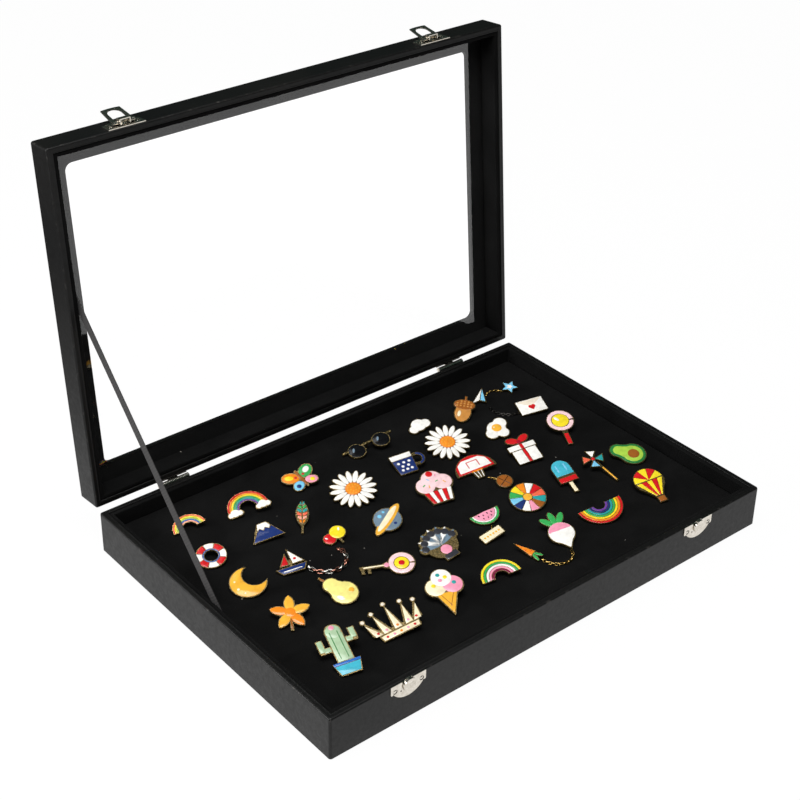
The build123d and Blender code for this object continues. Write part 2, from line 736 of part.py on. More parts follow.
# ---- Assembly ----
def assemble():
    nodes = {}
    nodes.update(base_shell())
    nodes.update(liner_strips("base", pad_low, base_height - liner_drop))
    nodes.update(pad())
    lid = lid_shell()
    lid.update(liner_strips("lid", lid_low + liner_drop, glass_low))
    hinge_pins, base_nails, lid_nails, catch_nails, latch_nails = [], [], [], [], []
    for name, side in (("left", -1), ("right", 1)):
        place = Pos(side * hinge_offset, hinge_y, hinge_z)
        base_leaf, lid_leaf, pin, nails = hinge()
        nodes[f"{name}_hinge_base_leaf"] = place * base_leaf
        lid[f"{name}_hinge_lid_leaf"] = place * lid_leaf
        hinge_pins.append(place * pin)
        base_nails += [place * n for n in nails["base"]]
        lid_nails += [place * n for n in nails["lid"]]
        x = side * latch_offset + latch_shift
        catch_z = base_height - catch_rim_drop
        nodes[f"{name}_catch_plate"] = on_front(catch_plate(), x, catch_z)
        catch_nails += [on_front(n, x, catch_z) for n in plate_nails(-plate_nail_drop)]
        lid[f"{name}_latch_plate"] = on_front(latch_plate(), x, lid_low)
        latch_nails += [on_front(n, x, lid_low) for n in plate_nails(latch_rim_rise + plate_nail_drop)]
        pivot = Pos(x, front_face - pivot_out, lid_low + pivot_rise)
        lid[f"{name}_latch_lever"] = pivot * Rot(90, 0, 0) * latch_lever()
        lid[f"{name}_latch_pivot"] = pivot * pivot_pin()
    nodes["hinge_pins"] = Compound(children=hinge_pins)
    nodes["hinge_base_nails"] = Compound(children=base_nails)
    nodes["catch_nails"] = Compound(children=catch_nails)
    lid["hinge_lid_nails"] = Compound(children=lid_nails)
    lid["latch_nails"] = Compound(children=latch_nails)
    nodes.update({name: opened(part) for name, part in lid.items()})
    nodes.update(stay_parts())
    for name, pins in pin_groups().items():
        nodes[name] = Compound(children=[pin_solid(*pin) for pin in pins])
    nodes["pin_chains"] = Compound(children=chain_runs())
    return nodes


os.makedirs("parts", exist_ok=True)
for node_name, solid in assemble().items():
    export_step(solid, f"parts/{node_name}.step")
    print(node_name, round(solid.volume, 1))
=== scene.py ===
"""Glass-top display case of enamel pins, lid open, dressed over its CAD parts.

Metres in the shared frame: origin at the centre of the underside, +X along the long
side, +Y towards the hinges, +Z up.
"""

from __future__ import annotations

import json
import logging
import math
import random
from collections.abc import Callable, Iterable
from dataclasses import dataclass, field
from enum import Enum

import bpy
from mathutils import Matrix, Vector, noise

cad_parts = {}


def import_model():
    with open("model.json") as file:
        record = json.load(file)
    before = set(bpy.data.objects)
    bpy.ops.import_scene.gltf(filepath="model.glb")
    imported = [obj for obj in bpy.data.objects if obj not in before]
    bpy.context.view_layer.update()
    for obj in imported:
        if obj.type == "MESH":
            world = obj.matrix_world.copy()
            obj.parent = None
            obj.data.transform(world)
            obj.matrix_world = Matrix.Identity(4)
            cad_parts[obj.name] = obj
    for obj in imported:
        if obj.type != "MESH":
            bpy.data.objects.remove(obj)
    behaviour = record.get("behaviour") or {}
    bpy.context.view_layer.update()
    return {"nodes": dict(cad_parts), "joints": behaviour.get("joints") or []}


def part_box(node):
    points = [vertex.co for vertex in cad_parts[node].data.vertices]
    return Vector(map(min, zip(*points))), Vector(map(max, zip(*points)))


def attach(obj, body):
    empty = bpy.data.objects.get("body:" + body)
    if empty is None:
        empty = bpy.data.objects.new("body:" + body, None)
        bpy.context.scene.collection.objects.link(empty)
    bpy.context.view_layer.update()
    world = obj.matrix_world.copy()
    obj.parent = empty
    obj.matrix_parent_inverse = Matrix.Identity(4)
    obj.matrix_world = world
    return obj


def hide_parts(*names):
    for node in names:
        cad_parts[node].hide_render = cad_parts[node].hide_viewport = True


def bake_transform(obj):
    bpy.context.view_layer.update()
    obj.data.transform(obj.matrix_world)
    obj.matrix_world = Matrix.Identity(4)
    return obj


MM = 0.001
LOG = logging.getLogger("pin_case")
Point = tuple[float, float]
Outline = list[Point]
Colour = tuple[float, float, float, float]


# ---- Colours and nodes ----
def linear(hex_colour: str) -> Colour:
    """Turn an sRGB colour into linear light.

    Args:
        hex_colour: the colour as #rrggbb.

    Returns:
        Red, green, blue and an alpha of 1.
    """
    values = (int(hex_colour[i:i + 2], 16) / 255 for i in (1, 3, 5))
    red, green, blue = (v / 12.92 if v <= 0.04045 else ((v + 0.055) / 1.055) ** 2.4 for v in values)
    return red, green, blue, 1.0


def add(tree: bpy.types.NodeTree, kind: str, inputs: dict | None = None,
        stops: Iterable[tuple[float, Colour]] = (), **settings) -> bpy.types.Node:
    """Add a node with its settings and links.

    Args:
        tree: the node tree that takes the node.
        kind: the node's type, such as ShaderNodeBump.
        inputs: a value or another node's output for each named or numbered socket.
        stops: the place and linear colour of each stop of a colour ramp.
        settings: the node's own options.

    Returns:
        The new node.
    """
    node = tree.nodes.new(kind)
    for key, value in settings.items():
        setattr(node, key, value)
    for key, value in (inputs or {}).items():
        if isinstance(value, bpy.types.NodeSocket):
            tree.links.new(value, node.inputs[key])
        else:
            node.inputs[key].default_value = value
    for index, (place, colour) in enumerate(stops):
        elements = node.color_ramp.elements
        element = elements[index] if index < 2 else elements.new(place)
        element.position, element.color = place, colour
    return node


def grey(value: float) -> Colour:
    """The linear grey of a value."""
    return value, value, value, 1.0


# ---- Finishes ----
@dataclass(frozen=True)
class Finish:
    """A surface finish that makes its material once."""

    name: str = "finish"

    def material(self) -> bpy.types.Material:
        """Make the material at its first use.

        Returns:
            The finish's material.
        """
        found = bpy.data.materials.get(self.name)
        if found:
            return found
        made = bpy.data.materials.new(self.name)
        made.use_nodes = True
        made.node_tree.nodes.clear()
        shader = self.shade(made.node_tree)
        add(made.node_tree, "ShaderNodeOutputMaterial", {"Surface": shader.outputs[0]})
        return made

    def shade(self, tree: bpy.types.NodeTree) -> bpy.types.Node:
        """Build the shader in the tree and return it."""
        raise NotImplementedError


@dataclass(frozen=True)
class Leatherette(Finish):
    """Embossed black PU film over board: a dull pebble grain, with pale marks along the outer edges that are partly
    scuffs and partly a painted highlight.
    """

    name: str = "leatherette_black_pu"
    rims_mm: tuple[float, ...] = (29.5,)
    opened_deg: float = 0.0
    hinge_mm: Point = (122.0, 28.6)
    half_mm: Point = (175.0, 120.0)
    colour: str = "#090909"
    pale: str = "#100f0e"
    # Pale edge colour: part scuffed wear, part a painted highlight of the rounded edges.
    edge_scuff_highlight: str = "#6b6762"
    grain_mm: float = 0.8
    grain_height_mm: float = 0.05
    patch_mm: float = 45.0
    scuff_highlight_mm: float = 5.0
    edge_mm: float = 1.1
    fold_mm: float = 0.25
    roughness: float = 0.45
    gloss: float = 0.34

    def edges(self, tree: bpy.types.NodeTree, place: bpy.types.NodeSocket) -> tuple[bpy.types.Node, bpy.types.Node]:
        """Find the outer edges and the folds at the corners of the rims.

        Args:
            tree: the node tree.
            place: the object coordinates.

        Returns:
            Nodes that give 1 on an edge, and 1 on a fold.
        """
        centre = (0.0, self.hinge_mm[0] * MM, self.hinge_mm[1] * MM)
        shut = add(tree, "ShaderNodeVectorRotate", {
            "Vector": place, "Center": centre, "Angle": math.radians(self.opened_deg)}, rotation_type="X_AXIS")
        axes = add(tree, "ShaderNodeSeparateXYZ", {0: shut.outputs[0]})
        reach = [add(tree, "ShaderNodeMath", {0: axes.outputs[i]}, operation="ABSOLUTE") for i in (0, 1)]
        off = [add(tree, "ShaderNodeMath", {0: half * MM, 1: node.outputs[0]}, operation="SUBTRACT")
               for half, node in zip(self.half_mm, reach)]
        rims = [add(tree, "ShaderNodeMath", {0: axes.outputs[2], 1: rim * MM, 2: self.edge_mm * MM},
                    operation="COMPARE") for rim in self.rims_mm]
        rim = rims[0]
        for other in rims[1:]:
            rim = add(tree, "ShaderNodeMath", {0: rim.outputs[0], 1: other.outputs[0]}, operation="MAXIMUM")
        sides = [add(tree, "ShaderNodeMapRange", {
            "Value": node.outputs[0], "From Min": self.edge_mm * MM, "From Max": 0.3 * self.edge_mm * MM})
            for node in off]
        pairs = [add(tree, "ShaderNodeMath", {0: u.outputs[0], 1: v.outputs[0]}, operation="MULTIPLY")
                 for u, v in ((sides[0], sides[1]), (sides[0], rim), (sides[1], rim))]
        edge = add(tree, "ShaderNodeMath", {0: pairs[0].outputs[0], 1: pairs[1].outputs[0]}, operation="MAXIMUM")
        edge = add(tree, "ShaderNodeMath", {0: edge.outputs[0], 1: pairs[2].outputs[0]}, operation="MAXIMUM")
        mitre = add(tree, "ShaderNodeMath", {
            0: off[0].outputs[0], 1: off[1].outputs[0], 2: self.fold_mm * MM}, operation="COMPARE")
        return edge, add(tree, "ShaderNodeMath", {0: mitre.outputs[0], 1: rim.outputs[0]}, operation="MULTIPLY")

    def shade(self, tree: bpy.types.NodeTree) -> bpy.types.Node:
        """Build the shader in the tree and return it."""
        place = add(tree, "ShaderNodeTexCoord").outputs["Object"]
        pebbles = add(tree, "ShaderNodeTexVoronoi",
                      {"Vector": place, "Scale": 1 / (self.grain_mm * MM)}, feature="SMOOTH_F1")
        creases = add(tree, "ShaderNodeTexNoise",
                      {"Vector": place, "Scale": 0.3 / (self.grain_mm * MM), "Detail": 3.0})
        patches = add(tree, "ShaderNodeTexNoise",
                      {"Vector": place, "Scale": 1 / (self.patch_mm * MM), "Detail": 2.0})
        rubs = add(tree, "ShaderNodeTexNoise",
                   {"Vector": place, "Scale": 1 / (self.scuff_highlight_mm * MM), "Detail": 6.0, "Roughness": 0.7})
        edge, fold = self.edges(tree, place)
        # Pale marks along the outer edges: partly scuffed wear, partly a painted highlight on the rounded edges,
        # painted the same under any lamp.
        wear_highlight_spread = add(tree, "ShaderNodeMapRange", {
            "Value": rubs.outputs["Fac"], "From Min": 0.56, "From Max": 0.8, "To Max": 0.6})
        wear_highlight_mask = add(tree, "ShaderNodeMath", {0: wear_highlight_spread.outputs[0], 1: edge.outputs[0]}, operation="MULTIPLY")
        height = add(tree, "ShaderNodeMath",
                     {0: pebbles.outputs["Distance"], 1: creases.outputs["Fac"]}, operation="ADD")
        folded = add(tree, "ShaderNodeMath", {0: fold.outputs[0], 1: -2.5, 2: height.outputs[0]},
                     operation="MULTIPLY_ADD")
        bump = add(tree, "ShaderNodeBump", {
            "Height": folded.outputs[0], "Strength": 0.55, "Distance": self.grain_height_mm * MM})
        tone = add(tree, "ShaderNodeValToRGB", {"Fac": patches.outputs["Fac"]},
                   [(0.35, linear(self.colour)), (0.75, linear(self.pale))]).outputs["Color"]
        wear_highlighted = add(tree, "ShaderNodeMix", {0: wear_highlight_mask.outputs[0], 6: tone, 7: linear(self.edge_scuff_highlight)},
                     data_type="RGBA")
        shine = add(tree, "ShaderNodeValToRGB", {"Fac": creases.outputs["Fac"]},
                    [(0.3, grey(self.roughness - 0.06)), (0.7, grey(self.roughness + 0.06))]).outputs["Color"]
        return add(tree, "ShaderNodeBsdfPrincipled", {
            "Base Color": wear_highlighted.outputs[2], "Roughness": shine, "IOR": 1.46,
            "Specular IOR Level": self.gloss, "Normal": bump.outputs[0]})


@dataclass(frozen=True)
class Velvet(Finish):
    """Short-pile black velvet: swallows light, with faint brushed patches and a few lint specks."""

    name: str = "velvet_black_pile"
    colour: str = "#040404"
    brushed: str = "#0b0b0b"
    lint: str = "#a8a49c"
    pile_mm: float = 0.7
    patch_mm: float = 26.0
    lint_cell_mm: float = 11.0
    lint_mm: float = 0.32

    def shade(self, tree: bpy.types.NodeTree) -> bpy.types.Node:
        """Build the shader in the tree and return it."""
        place = add(tree, "ShaderNodeTexCoord").outputs["Object"]
        pile = add(tree, "ShaderNodeTexNoise",
                   {"Vector": place, "Scale": 1 / (self.pile_mm * MM), "Detail": 2.0})
        patches = add(tree, "ShaderNodeTexNoise", {
            "Vector": place, "Scale": 1 / (self.patch_mm * MM), "Detail": 3.0, "Distortion": 0.6})
        tone = add(tree, "ShaderNodeValToRGB", {"Fac": patches.outputs["Fac"]},
                   [(0.35, linear(self.colour)), (0.7, linear(self.brushed))]).outputs["Color"]
        specks = add(tree, "ShaderNodeTexVoronoi",
                     {"Vector": place, "Scale": 1 / (self.lint_cell_mm * MM)}, feature="F1")
        near = add(tree, "ShaderNodeMath", {
            0: specks.outputs["Distance"], 1: self.lint_mm / self.lint_cell_mm}, operation="LESS_THAN")
        rare = add(tree, "ShaderNodeSeparateColor", {"Color": specks.outputs["Color"]})
        kept = add(tree, "ShaderNodeMath", {0: rare.outputs[0], 1: 0.55}, operation="GREATER_THAN")
        speck = add(tree, "ShaderNodeMath", {0: near.outputs[0], 1: kept.outputs[0]}, operation="MULTIPLY")
        colour = add(tree, "ShaderNodeMix", {
            0: speck.outputs[0], 6: tone, 7: linear(self.lint)}, data_type="RGBA")
        bump = add(tree, "ShaderNodeBump", {
            "Height": pile.outputs["Fac"], "Strength": 0.8, "Distance": 0.3 * MM})
        return add(tree, "ShaderNodeBsdfPrincipled", {
            "Base Color": colour.outputs[2], "Roughness": 0.95, "Specular IOR Level": 0.15,
            "Sheen Weight": 0.03, "Sheen Roughness": 0.35, "Sheen Tint": linear("#9a9a9a"),
            "Normal": bump.outputs[0]})


@dataclass(frozen=True)
class Plating(Finish):
    """Bright plated metal: mirror-like, with a little polishing haze, fine rubs and painted shade that darkens its
    crevices.
    """

    name: str = "nickel_plated_steel"
    colour: str = "#e9e3d8"
    dulled: str = "#cfc7ba"
    roughness: float = 0.16
    rub_mm: float = 2.5
    crevice_mm: float = 1.0
    # Painted shade colour for the crevices.
    painted_crevice_shade: str = "#1c1a18"

    def shade(self, tree: bpy.types.NodeTree) -> bpy.types.Node:
        """Build the shader in the tree and return it."""
        place = add(tree, "ShaderNodeTexCoord").outputs["Object"]
        stretched = add(tree, "ShaderNodeMapping", {"Vector": place, "Scale": (1.0, 4.0, 4.0)})
        haze = add(tree, "ShaderNodeTexNoise",
                   {"Vector": place, "Scale": 1 / (self.rub_mm * MM), "Detail": 4.0})
        rubs = add(tree, "ShaderNodeTexNoise", {
            "Vector": stretched.outputs[0], "Scale": 1 / (self.rub_mm * MM), "Detail": 6.0})
        tone = add(tree, "ShaderNodeValToRGB", {"Fac": haze.outputs["Fac"]},
                   [(0.3, linear(self.colour)), (0.75, linear(self.dulled))]).outputs["Color"]
        # Painted shade: ambient occlusion darkens the colour in crevices and round nail heads, where shade falls.
        crevice = add(tree, "ShaderNodeAmbientOcclusion", {"Distance": self.crevice_mm * MM}, samples=8)
        open_part = add(tree, "ShaderNodeMapRange", {
            "Value": crevice.outputs["AO"], "From Min": 0.35, "From Max": 0.8})
        crevice_shaded_tone = add(tree, "ShaderNodeMix", {
            0: open_part.outputs[0], 6: linear(self.painted_crevice_shade), 7: tone}, data_type="RGBA")
        gloss = add(tree, "ShaderNodeValToRGB", {"Fac": rubs.outputs["Fac"]},
                   [(0.3, grey(self.roughness)), (0.8, grey(self.roughness + 0.16))]).outputs["Color"]
        bump = add(tree, "ShaderNodeBump", {
            "Height": rubs.outputs["Fac"], "Strength": 0.12, "Distance": 0.03 * MM})
        return add(tree, "ShaderNodeBsdfPrincipled", {
            "Base Color": crevice_shaded_tone.outputs[2], "Metallic": 1.0, "Roughness": gloss,
            "Normal": bump.outputs[0]})


@dataclass(frozen=True)
class Enamel(Finish):
    """Fired enamel in a cell: full colour under a wet gloss, a shade deeper where it pools."""

    name: str = "enamel"
    colour: str = "#ffffff"
    pool_mm: float = 3.0

    def shade(self, tree: bpy.types.NodeTree) -> bpy.types.Node:
        """Build the shader in the tree and return it."""
        place = add(tree, "ShaderNodeTexCoord").outputs["Object"]
        pools = add(tree, "ShaderNodeTexNoise",
                    {"Vector": place, "Scale": 1 / (self.pool_mm * MM), "Detail": 2.0})
        full = linear(self.colour)
        deep = (*(0.86 * c for c in full[:3]), 1.0)
        tone = add(tree, "ShaderNodeValToRGB", {"Fac": pools.outputs["Fac"]},
                   [(0.3, deep), (0.6, full)]).outputs["Color"]
        bump = add(tree, "ShaderNodeBump", {
            "Height": pools.outputs["Fac"], "Strength": 0.2, "Distance": 0.08 * MM})
        return add(tree, "ShaderNodeBsdfPrincipled", {
            "Base Color": tone, "Roughness": 0.14, "IOR": 1.52, "Normal": bump.outputs[0]})


@dataclass(frozen=True)
class WindowGlass(Finish):
    """Clear float glass: see-through face on, with a mirror that grows at a slant."""

    name: str = "float_glass"
    tint: str = "#ffffff"

    def shade(self, tree: bpy.types.NodeTree) -> bpy.types.Node:
        """Build the shader in the tree and return it."""
        place = add(tree, "ShaderNodeTexCoord").outputs["Object"]
        smear = add(tree, "ShaderNodeTexNoise", {"Vector": place, "Scale": 18.0, "Detail": 2.0})
        haze = add(tree, "ShaderNodeValToRGB", {"Fac": smear.outputs["Fac"]},
                   [(0.4, grey(0.0)), (0.8, grey(0.03))]).outputs["Color"]
        slant = add(tree, "ShaderNodeFresnel", {"IOR": 1.5})
        side = add(tree, "ShaderNodeNewGeometry")
        entering = add(tree, "ShaderNodeMath", {0: 1.0, 1: side.outputs["Backfacing"]}, operation="SUBTRACT")
        mirrored = add(tree, "ShaderNodeMath", {0: slant.outputs[0], 1: entering.outputs[0]},
                       operation="MULTIPLY")
        both_faces = add(tree, "ShaderNodeMath", {0: mirrored.outputs[0], 1: 1.8}, operation="MULTIPLY")
        clear = add(tree, "ShaderNodeBsdfTransparent", {"Color": linear(self.tint)})
        mirror = add(tree, "ShaderNodeBsdfGlossy", {"Color": both_faces.outputs[0], "Roughness": haze})
        return add(tree, "ShaderNodeAddShader", {0: clear.outputs[0], 1: mirror.outputs[0]})


@dataclass(frozen=True)
class Fibre(Finish):
    """Pressed or raw fibre surface, such as felt, grey board or foam: matt, with a loose mottle."""

    name: str = "felt_black"
    colour: str = "#131313"
    pale: str = "#242424"
    fibre_mm: float = 0.8

    def shade(self, tree: bpy.types.NodeTree) -> bpy.types.Node:
        """Build the shader in the tree and return it."""
        place = add(tree, "ShaderNodeTexCoord").outputs["Object"]
        fibres = add(tree, "ShaderNodeTexNoise", {
            "Vector": place, "Scale": 1 / (self.fibre_mm * MM), "Detail": 5.0, "Distortion": 1.2})
        tone = add(tree, "ShaderNodeValToRGB", {"Fac": fibres.outputs["Fac"]},
                   [(0.35, linear(self.colour)), (0.7, linear(self.pale))]).outputs["Color"]
        bump = add(tree, "ShaderNodeBump", {
            "Height": fibres.outputs["Fac"], "Strength": 0.6, "Distance": 0.2 * MM})
        return add(tree, "ShaderNodeBsdfPrincipled", {
            "Base Color": tone, "Roughness": 0.95, "Specular IOR Level": 0.2,
            "Normal": bump.outputs[0]})


@dataclass(frozen=True)
class Ribbon(Finish):
    """Woven grosgrain ribbon: fine cross ribs with a dull thread sheen."""

    name: str = "grosgrain_ribbon_black"
    colour: str = "#131212"
    thread: str = "#231f1f"
    rib_mm: float = 0.9

    def shade(self, tree: bpy.types.NodeTree) -> bpy.types.Node:
        """Build the shader in the tree and return it."""
        uv = add(tree, "ShaderNodeUVMap", uv_map="UVMap").outputs["UV"]
        ribs = add(tree, "ShaderNodeTexWave", {
            "Vector": uv, "Scale": MM / (self.rib_mm * MM) * 100 / math.tau, "Distortion": 0.4,
            "Detail": 2.0}, wave_type="BANDS", bands_direction="X")
        tone = add(tree, "ShaderNodeValToRGB", {"Fac": ribs.outputs["Fac"]},
                   [(0.2, linear(self.colour)), (0.8, linear(self.thread))]).outputs["Color"]
        bump = add(tree, "ShaderNodeBump", {
            "Height": ribs.outputs["Fac"], "Strength": 0.5, "Distance": 0.12 * MM})
        return add(tree, "ShaderNodeBsdfPrincipled", {
            "Base Color": tone, "Roughness": 0.7, "Sheen Weight": 0.15, "Sheen Roughness": 0.4,
            "Normal": bump.outputs[0]})


LEATHERETTE = Leatherette()
LID_LEATHERETTE = Leatherette("leatherette_black_pu_lid", (29.8, 49.3), 94.8)
VELVET = Velvet()
NICKEL = Plating()
GILT = Plating("gilt_pin_metal", "#e0c48c", "#c9a667", 0.2, 1.6)
BRASS = Plating("gold_plated_chain", "#e2bf72", "#b98f45", 0.18, 1.0)
SILVER = Plating("white_metal_chain", "#e4e1da", "#bdb7ad", 0.2, 1.0)
ROSE_METAL = Plating("copper_plated_chain", "#c98f7c", "#8c5a4a", 0.22, 1.0)
BLACK_METAL = Plating("black_plated_chain", "#3c3a38", "#242220", 0.25, 1.0)
GLASS = WindowGlass()
FELT = Fibre()
BOARD = Fibre("grey_board", "#7a756c", "#8e897f", 0.6)
LINING = Fibre("black_lining_paper", "#0b0b0b", "#141414", 0.5)
FOAM = Fibre("polyurethane_foam", "#3b3b3d", "#4a4a4c", 1.1)
RIBBON = Ribbon()


class Glaze(Enum):
    """Enamel colours on the pins."""

    WHITE = "#f6f4ee"
    CREAM = "#f6e8c4"
    IVORY = "#efe3cf"
    RED = "#cf1f24"
    CRIMSON = "#a3162c"
    CORAL = "#ee6a4c"
    SALMON = "#f2a58f"
    PINK = "#f29bb4"
    BLUSH = "#f8d3d6"
    ORANGE = "#f08a24"
    AMBER = "#f2b23c"
    YELLOW = "#f4dc2c"
    LEMON = "#f3e88a"
    LIME = "#a8d04c"
    GREEN = "#3aa856"
    LEAF = "#2c7a3c"
    SAGE = "#a9c4a0"
    TEAL = "#2a9d9d"
    TURQUOISE = "#46b4ca"
    SKY = "#7cc8ea"
    BLUE = "#2c6cc0"
    NAVY = "#22356e"
    SLATE = "#6f8494"
    PURPLE = "#6a3f97"
    MAROON = "#7c2440"
    BROWN = "#9a5a24"
    TAN = "#c88a44"
    CHARCOAL = "#35363c"
    BLACK = "#0f0f12"

    def finish(self) -> Enamel:
        """The finish of this colour."""
        return Enamel(f"enamel_{self.name.lower()}", self.value)


# ---- Flat outlines, in millimetres about a pin's own centre ----
def oval(rx: float, ry: float, x: float = 0.0, y: float = 0.0, turn: float = 0.0) -> Outline:
    """Ellipse outline.

    Args:
        rx: half width.
        ry: half height.
        x: centre.
        y: centre.
        turn: degrees anticlockwise.

    Returns:
        Its points.
    """
    count = max(12, min(40, round(10 * math.sqrt(max(rx, ry)))))
    cos, sin = math.cos(math.radians(turn)), math.sin(math.radians(turn))
    angles = [math.tau * i / count for i in range(count)]
    flat = [(rx * math.cos(a), ry * math.sin(a)) for a in angles]
    return [(x + u * cos - v * sin, y + u * sin + v * cos) for u, v in flat]


def disc(radius: float, x: float = 0.0, y: float = 0.0) -> Outline:
    """Circle outline."""
    return oval(radius, radius, x, y)


def bar(width: float, height: float, x: float = 0.0, y: float = 0.0, turn: float = 0.0) -> Outline:
    """Rectangle outline.

    Args:
        width: size along its own X.
        height: size along its own Y.
        x: centre.
        y: centre.
        turn: degrees anticlockwise.

    Returns:
        Its points.
    """
    cos, sin = math.cos(math.radians(turn)), math.sin(math.radians(turn))
    corners = [(-width / 2, -height / 2), (width / 2, -height / 2), (width / 2, height / 2),
               (-width / 2, height / 2)]
    return [(x + u * cos - v * sin, y + u * sin + v * cos) for u, v in corners]


def taper(low: float, high: float, height: float, x: float = 0.0, y: float = 0.0) -> Outline:
    """Upright trapezium outline of a low and a high width."""
    return [(x - low / 2, y - height / 2), (x + low / 2, y - height / 2),
            (x + high / 2, y + height / 2), (x - high / 2, y + height / 2)]


def band(outer: float, inner: float, start: float, end: float, x: float = 0.0,
         y: float = 0.0) -> Outline:
    """Stretch of a ring between two angles.

    Args:
        outer: outer radius.
        inner: inner radius, 0 for a wedge.
        start: first angle in degrees.
        end: last angle in degrees.
        x: centre.
        y: centre.

    Returns:
        Its points.
    """
    count = max(3, round(abs(end - start) / 9))
    angles = [math.radians(start + (end - start) * i / count) for i in range(count + 1)]
    rim = [(x + outer * math.cos(a), y + outer * math.sin(a)) for a in angles]
    if inner == 0:
        return [*rim, (x, y)]
    return rim + [(x + inner * math.cos(a), y + inner * math.sin(a)) for a in reversed(angles)]


def lens(length: float, width: float, x: float = 0.0, y: float = 0.0, turn: float = 0.0) -> Outline:
    """Pointed oval outline along its own Y.

    Args:
        length: tip to tip.
        width: widest place.
        x: centre.
        y: centre.
        turn: degrees anticlockwise.

    Returns:
        Its points.
    """
    half, bulge = length / 2, width / 2
    radius = (half**2 + bulge**2) / (2 * bulge)
    reach = math.asin(min(1.0, half / radius))
    sweep = [reach * (2 * i / 8 - 1) for i in range(8)]
    right = [(radius * math.cos(a) - radius + bulge, radius * math.sin(a)) for a in sweep]
    points = right + [(-u, -v) for u, v in right]
    cos, sin = math.cos(math.radians(turn)), math.sin(math.radians(turn))
    return [(x + u * cos - v * sin, y + u * sin + v * cos) for u, v in points]


def crescent(radius: float, bite: float, shift: float) -> Outline:
    """Disc with a round bite towards (shift, 0.6 shift).

    Args:
        radius: the disc's radius.
        bite: the bite's radius.
        shift: how far the bite's centre is along X.

    Returns:
        Its points.
    """
    centre = Vector((shift, 0.6 * shift))
    lean = math.atan2(centre.y, centre.x)
    apart = centre.length
    horn = math.acos((apart**2 + radius**2 - bite**2) / (2 * apart * radius))
    inner = math.acos((apart**2 + bite**2 - radius**2) / (2 * apart * bite))
    count = 22
    rim = [lean + horn + (math.tau - 2 * horn) * i / count for i in range(count + 1)]
    hollow = [lean + math.pi + inner - 2 * inner * (1 - i / count) for i in range(1, count)]
    outer = [(radius * math.cos(a), radius * math.sin(a)) for a in rim]
    return outer + [(centre.x + bite * math.cos(a), centre.y + bite * math.sin(a))
                    for a in reversed(hollow)]


def star(reach: float, waist: float, points: int = 5, x: float = 0.0, y: float = 0.0) -> Outline:
    """Star outline with one point up."""
    angles = [math.pi * i / points for i in range(2 * points)]
    return [(x - (reach if i % 2 == 0 else waist) * math.sin(a),
             y + (reach if i % 2 == 0 else waist) * math.cos(a)) for i, a in enumerate(angles)]


# ---- Pin designs ----
@dataclass(frozen=True)
class Cell:
    """One enamel cell: its outline, its colour and its step above the plate."""

    outline: Outline
    glaze: Glaze
    step: int = 0


Design = list[Cell]


def arch_bands(outer: float, inner: float, glazes: list[Glaze], line: float = 0.28) -> Design:
    """Half-round bands of a rainbow, outermost first.

    Args:
        outer: the plate's outer radius.
        inner: the plate's inner radius.
        glazes: the bands' colours.
        line: the width of the metal lines.

    Returns:
        The cells.
    """
    width = (outer - inner - line * (len(glazes) + 1)) / len(glazes)
    cells = []
    for index, glaze in enumerate(glazes):
        top = outer - line - index * (width + line)
        foot = math.degrees(math.asin(line / (top - width)))
        cells.append(Cell(band(top, top - width, foot, 180 - foot), glaze))
    return cells


def puff(size: float, x: float = 0.0, y: float = 0.0, step: int = 1) -> Design:
    """White cloud of three heaps."""
    heaps = ((0.36, 0.0, 0.0, 2), (0.24, -0.32, -0.1, 0), (0.26, 0.3, -0.08, 1))
    return [Cell(disc(size * r - 0.45, x + size * u, y + size * v), Glaze.WHITE, step + s)
            for r, u, v, s in heaps]


def small_rainbow() -> Design:
    """Rainbow in soft colours."""
    return arch_bands(9.8, 4.2, [Glaze.CORAL, Glaze.YELLOW, Glaze.LIME, Glaze.BLUE, Glaze.SALMON])


def cloud_rainbow() -> Design:
    """Rainbow that ends in two clouds."""
    bands = arch_bands(12.0, 5.0, [Glaze.RED, Glaze.ORANGE, Glaze.YELLOW, Glaze.GREEN, Glaze.TEAL,
                                   Glaze.PURPLE], 0.22)
    return bands + puff(8.5, -8.4, -1.0) + puff(8.5, 8.4, -1.0)


def rose_rainbow() -> Design:
    """Rainbow from yellow to maroon."""
    return arch_bands(11.8, 4.0, [Glaze.YELLOW, Glaze.GREEN, Glaze.WHITE, Glaze.PINK, Glaze.MAROON])


def tall_rainbow() -> Design:
    """Seven-band rainbow."""
    return arch_bands(14.0, 3.6, [Glaze.RED, Glaze.ORANGE, Glaze.YELLOW, Glaze.GREEN, Glaze.TEAL,
                                  Glaze.NAVY, Glaze.PURPLE], 0.26)


def daisy() -> Design:
    """Daisy with long white petals."""
    petals = []
    for index in range(16):
        angle = math.radians(90 + 22.5 * index)
        petals.append(Cell(oval(4.5, 1.52, 9.1 * math.cos(angle), 9.1 * math.sin(angle),
                                math.degrees(angle)), Glaze.WHITE))
    seeds = [Cell(disc(0.55, r * math.cos(a), r * math.sin(a)), Glaze.AMBER, 3)
             for r, n in ((3.3, 11), (1.7, 6)) for a in (math.tau * i / n for i in range(n))]
    return petals + [Cell(disc(4.7), Glaze.ORANGE, 2)] + seeds


def mountain() -> Design:
    """Blue mountain with a white top."""
    foot = [(-8.9, -5.5), (8.9, -5.5), (4.6, 2.4), (2.9, 0.7), (1.1, 2.3), (-0.6, 0.5), (-2.2, 2.3),
            (-4.2, 0.9)]
    snow = [(-3.9, 1.5), (-2.2, 2.9), (-0.6, 1.1), (1.1, 2.9), (2.9, 1.3), (4.2, 3.0), (2.7, 5.9),
            (-2.4, 5.9)]
    return [Cell(foot, Glaze.NAVY), Cell(snow, Glaze.WHITE)]


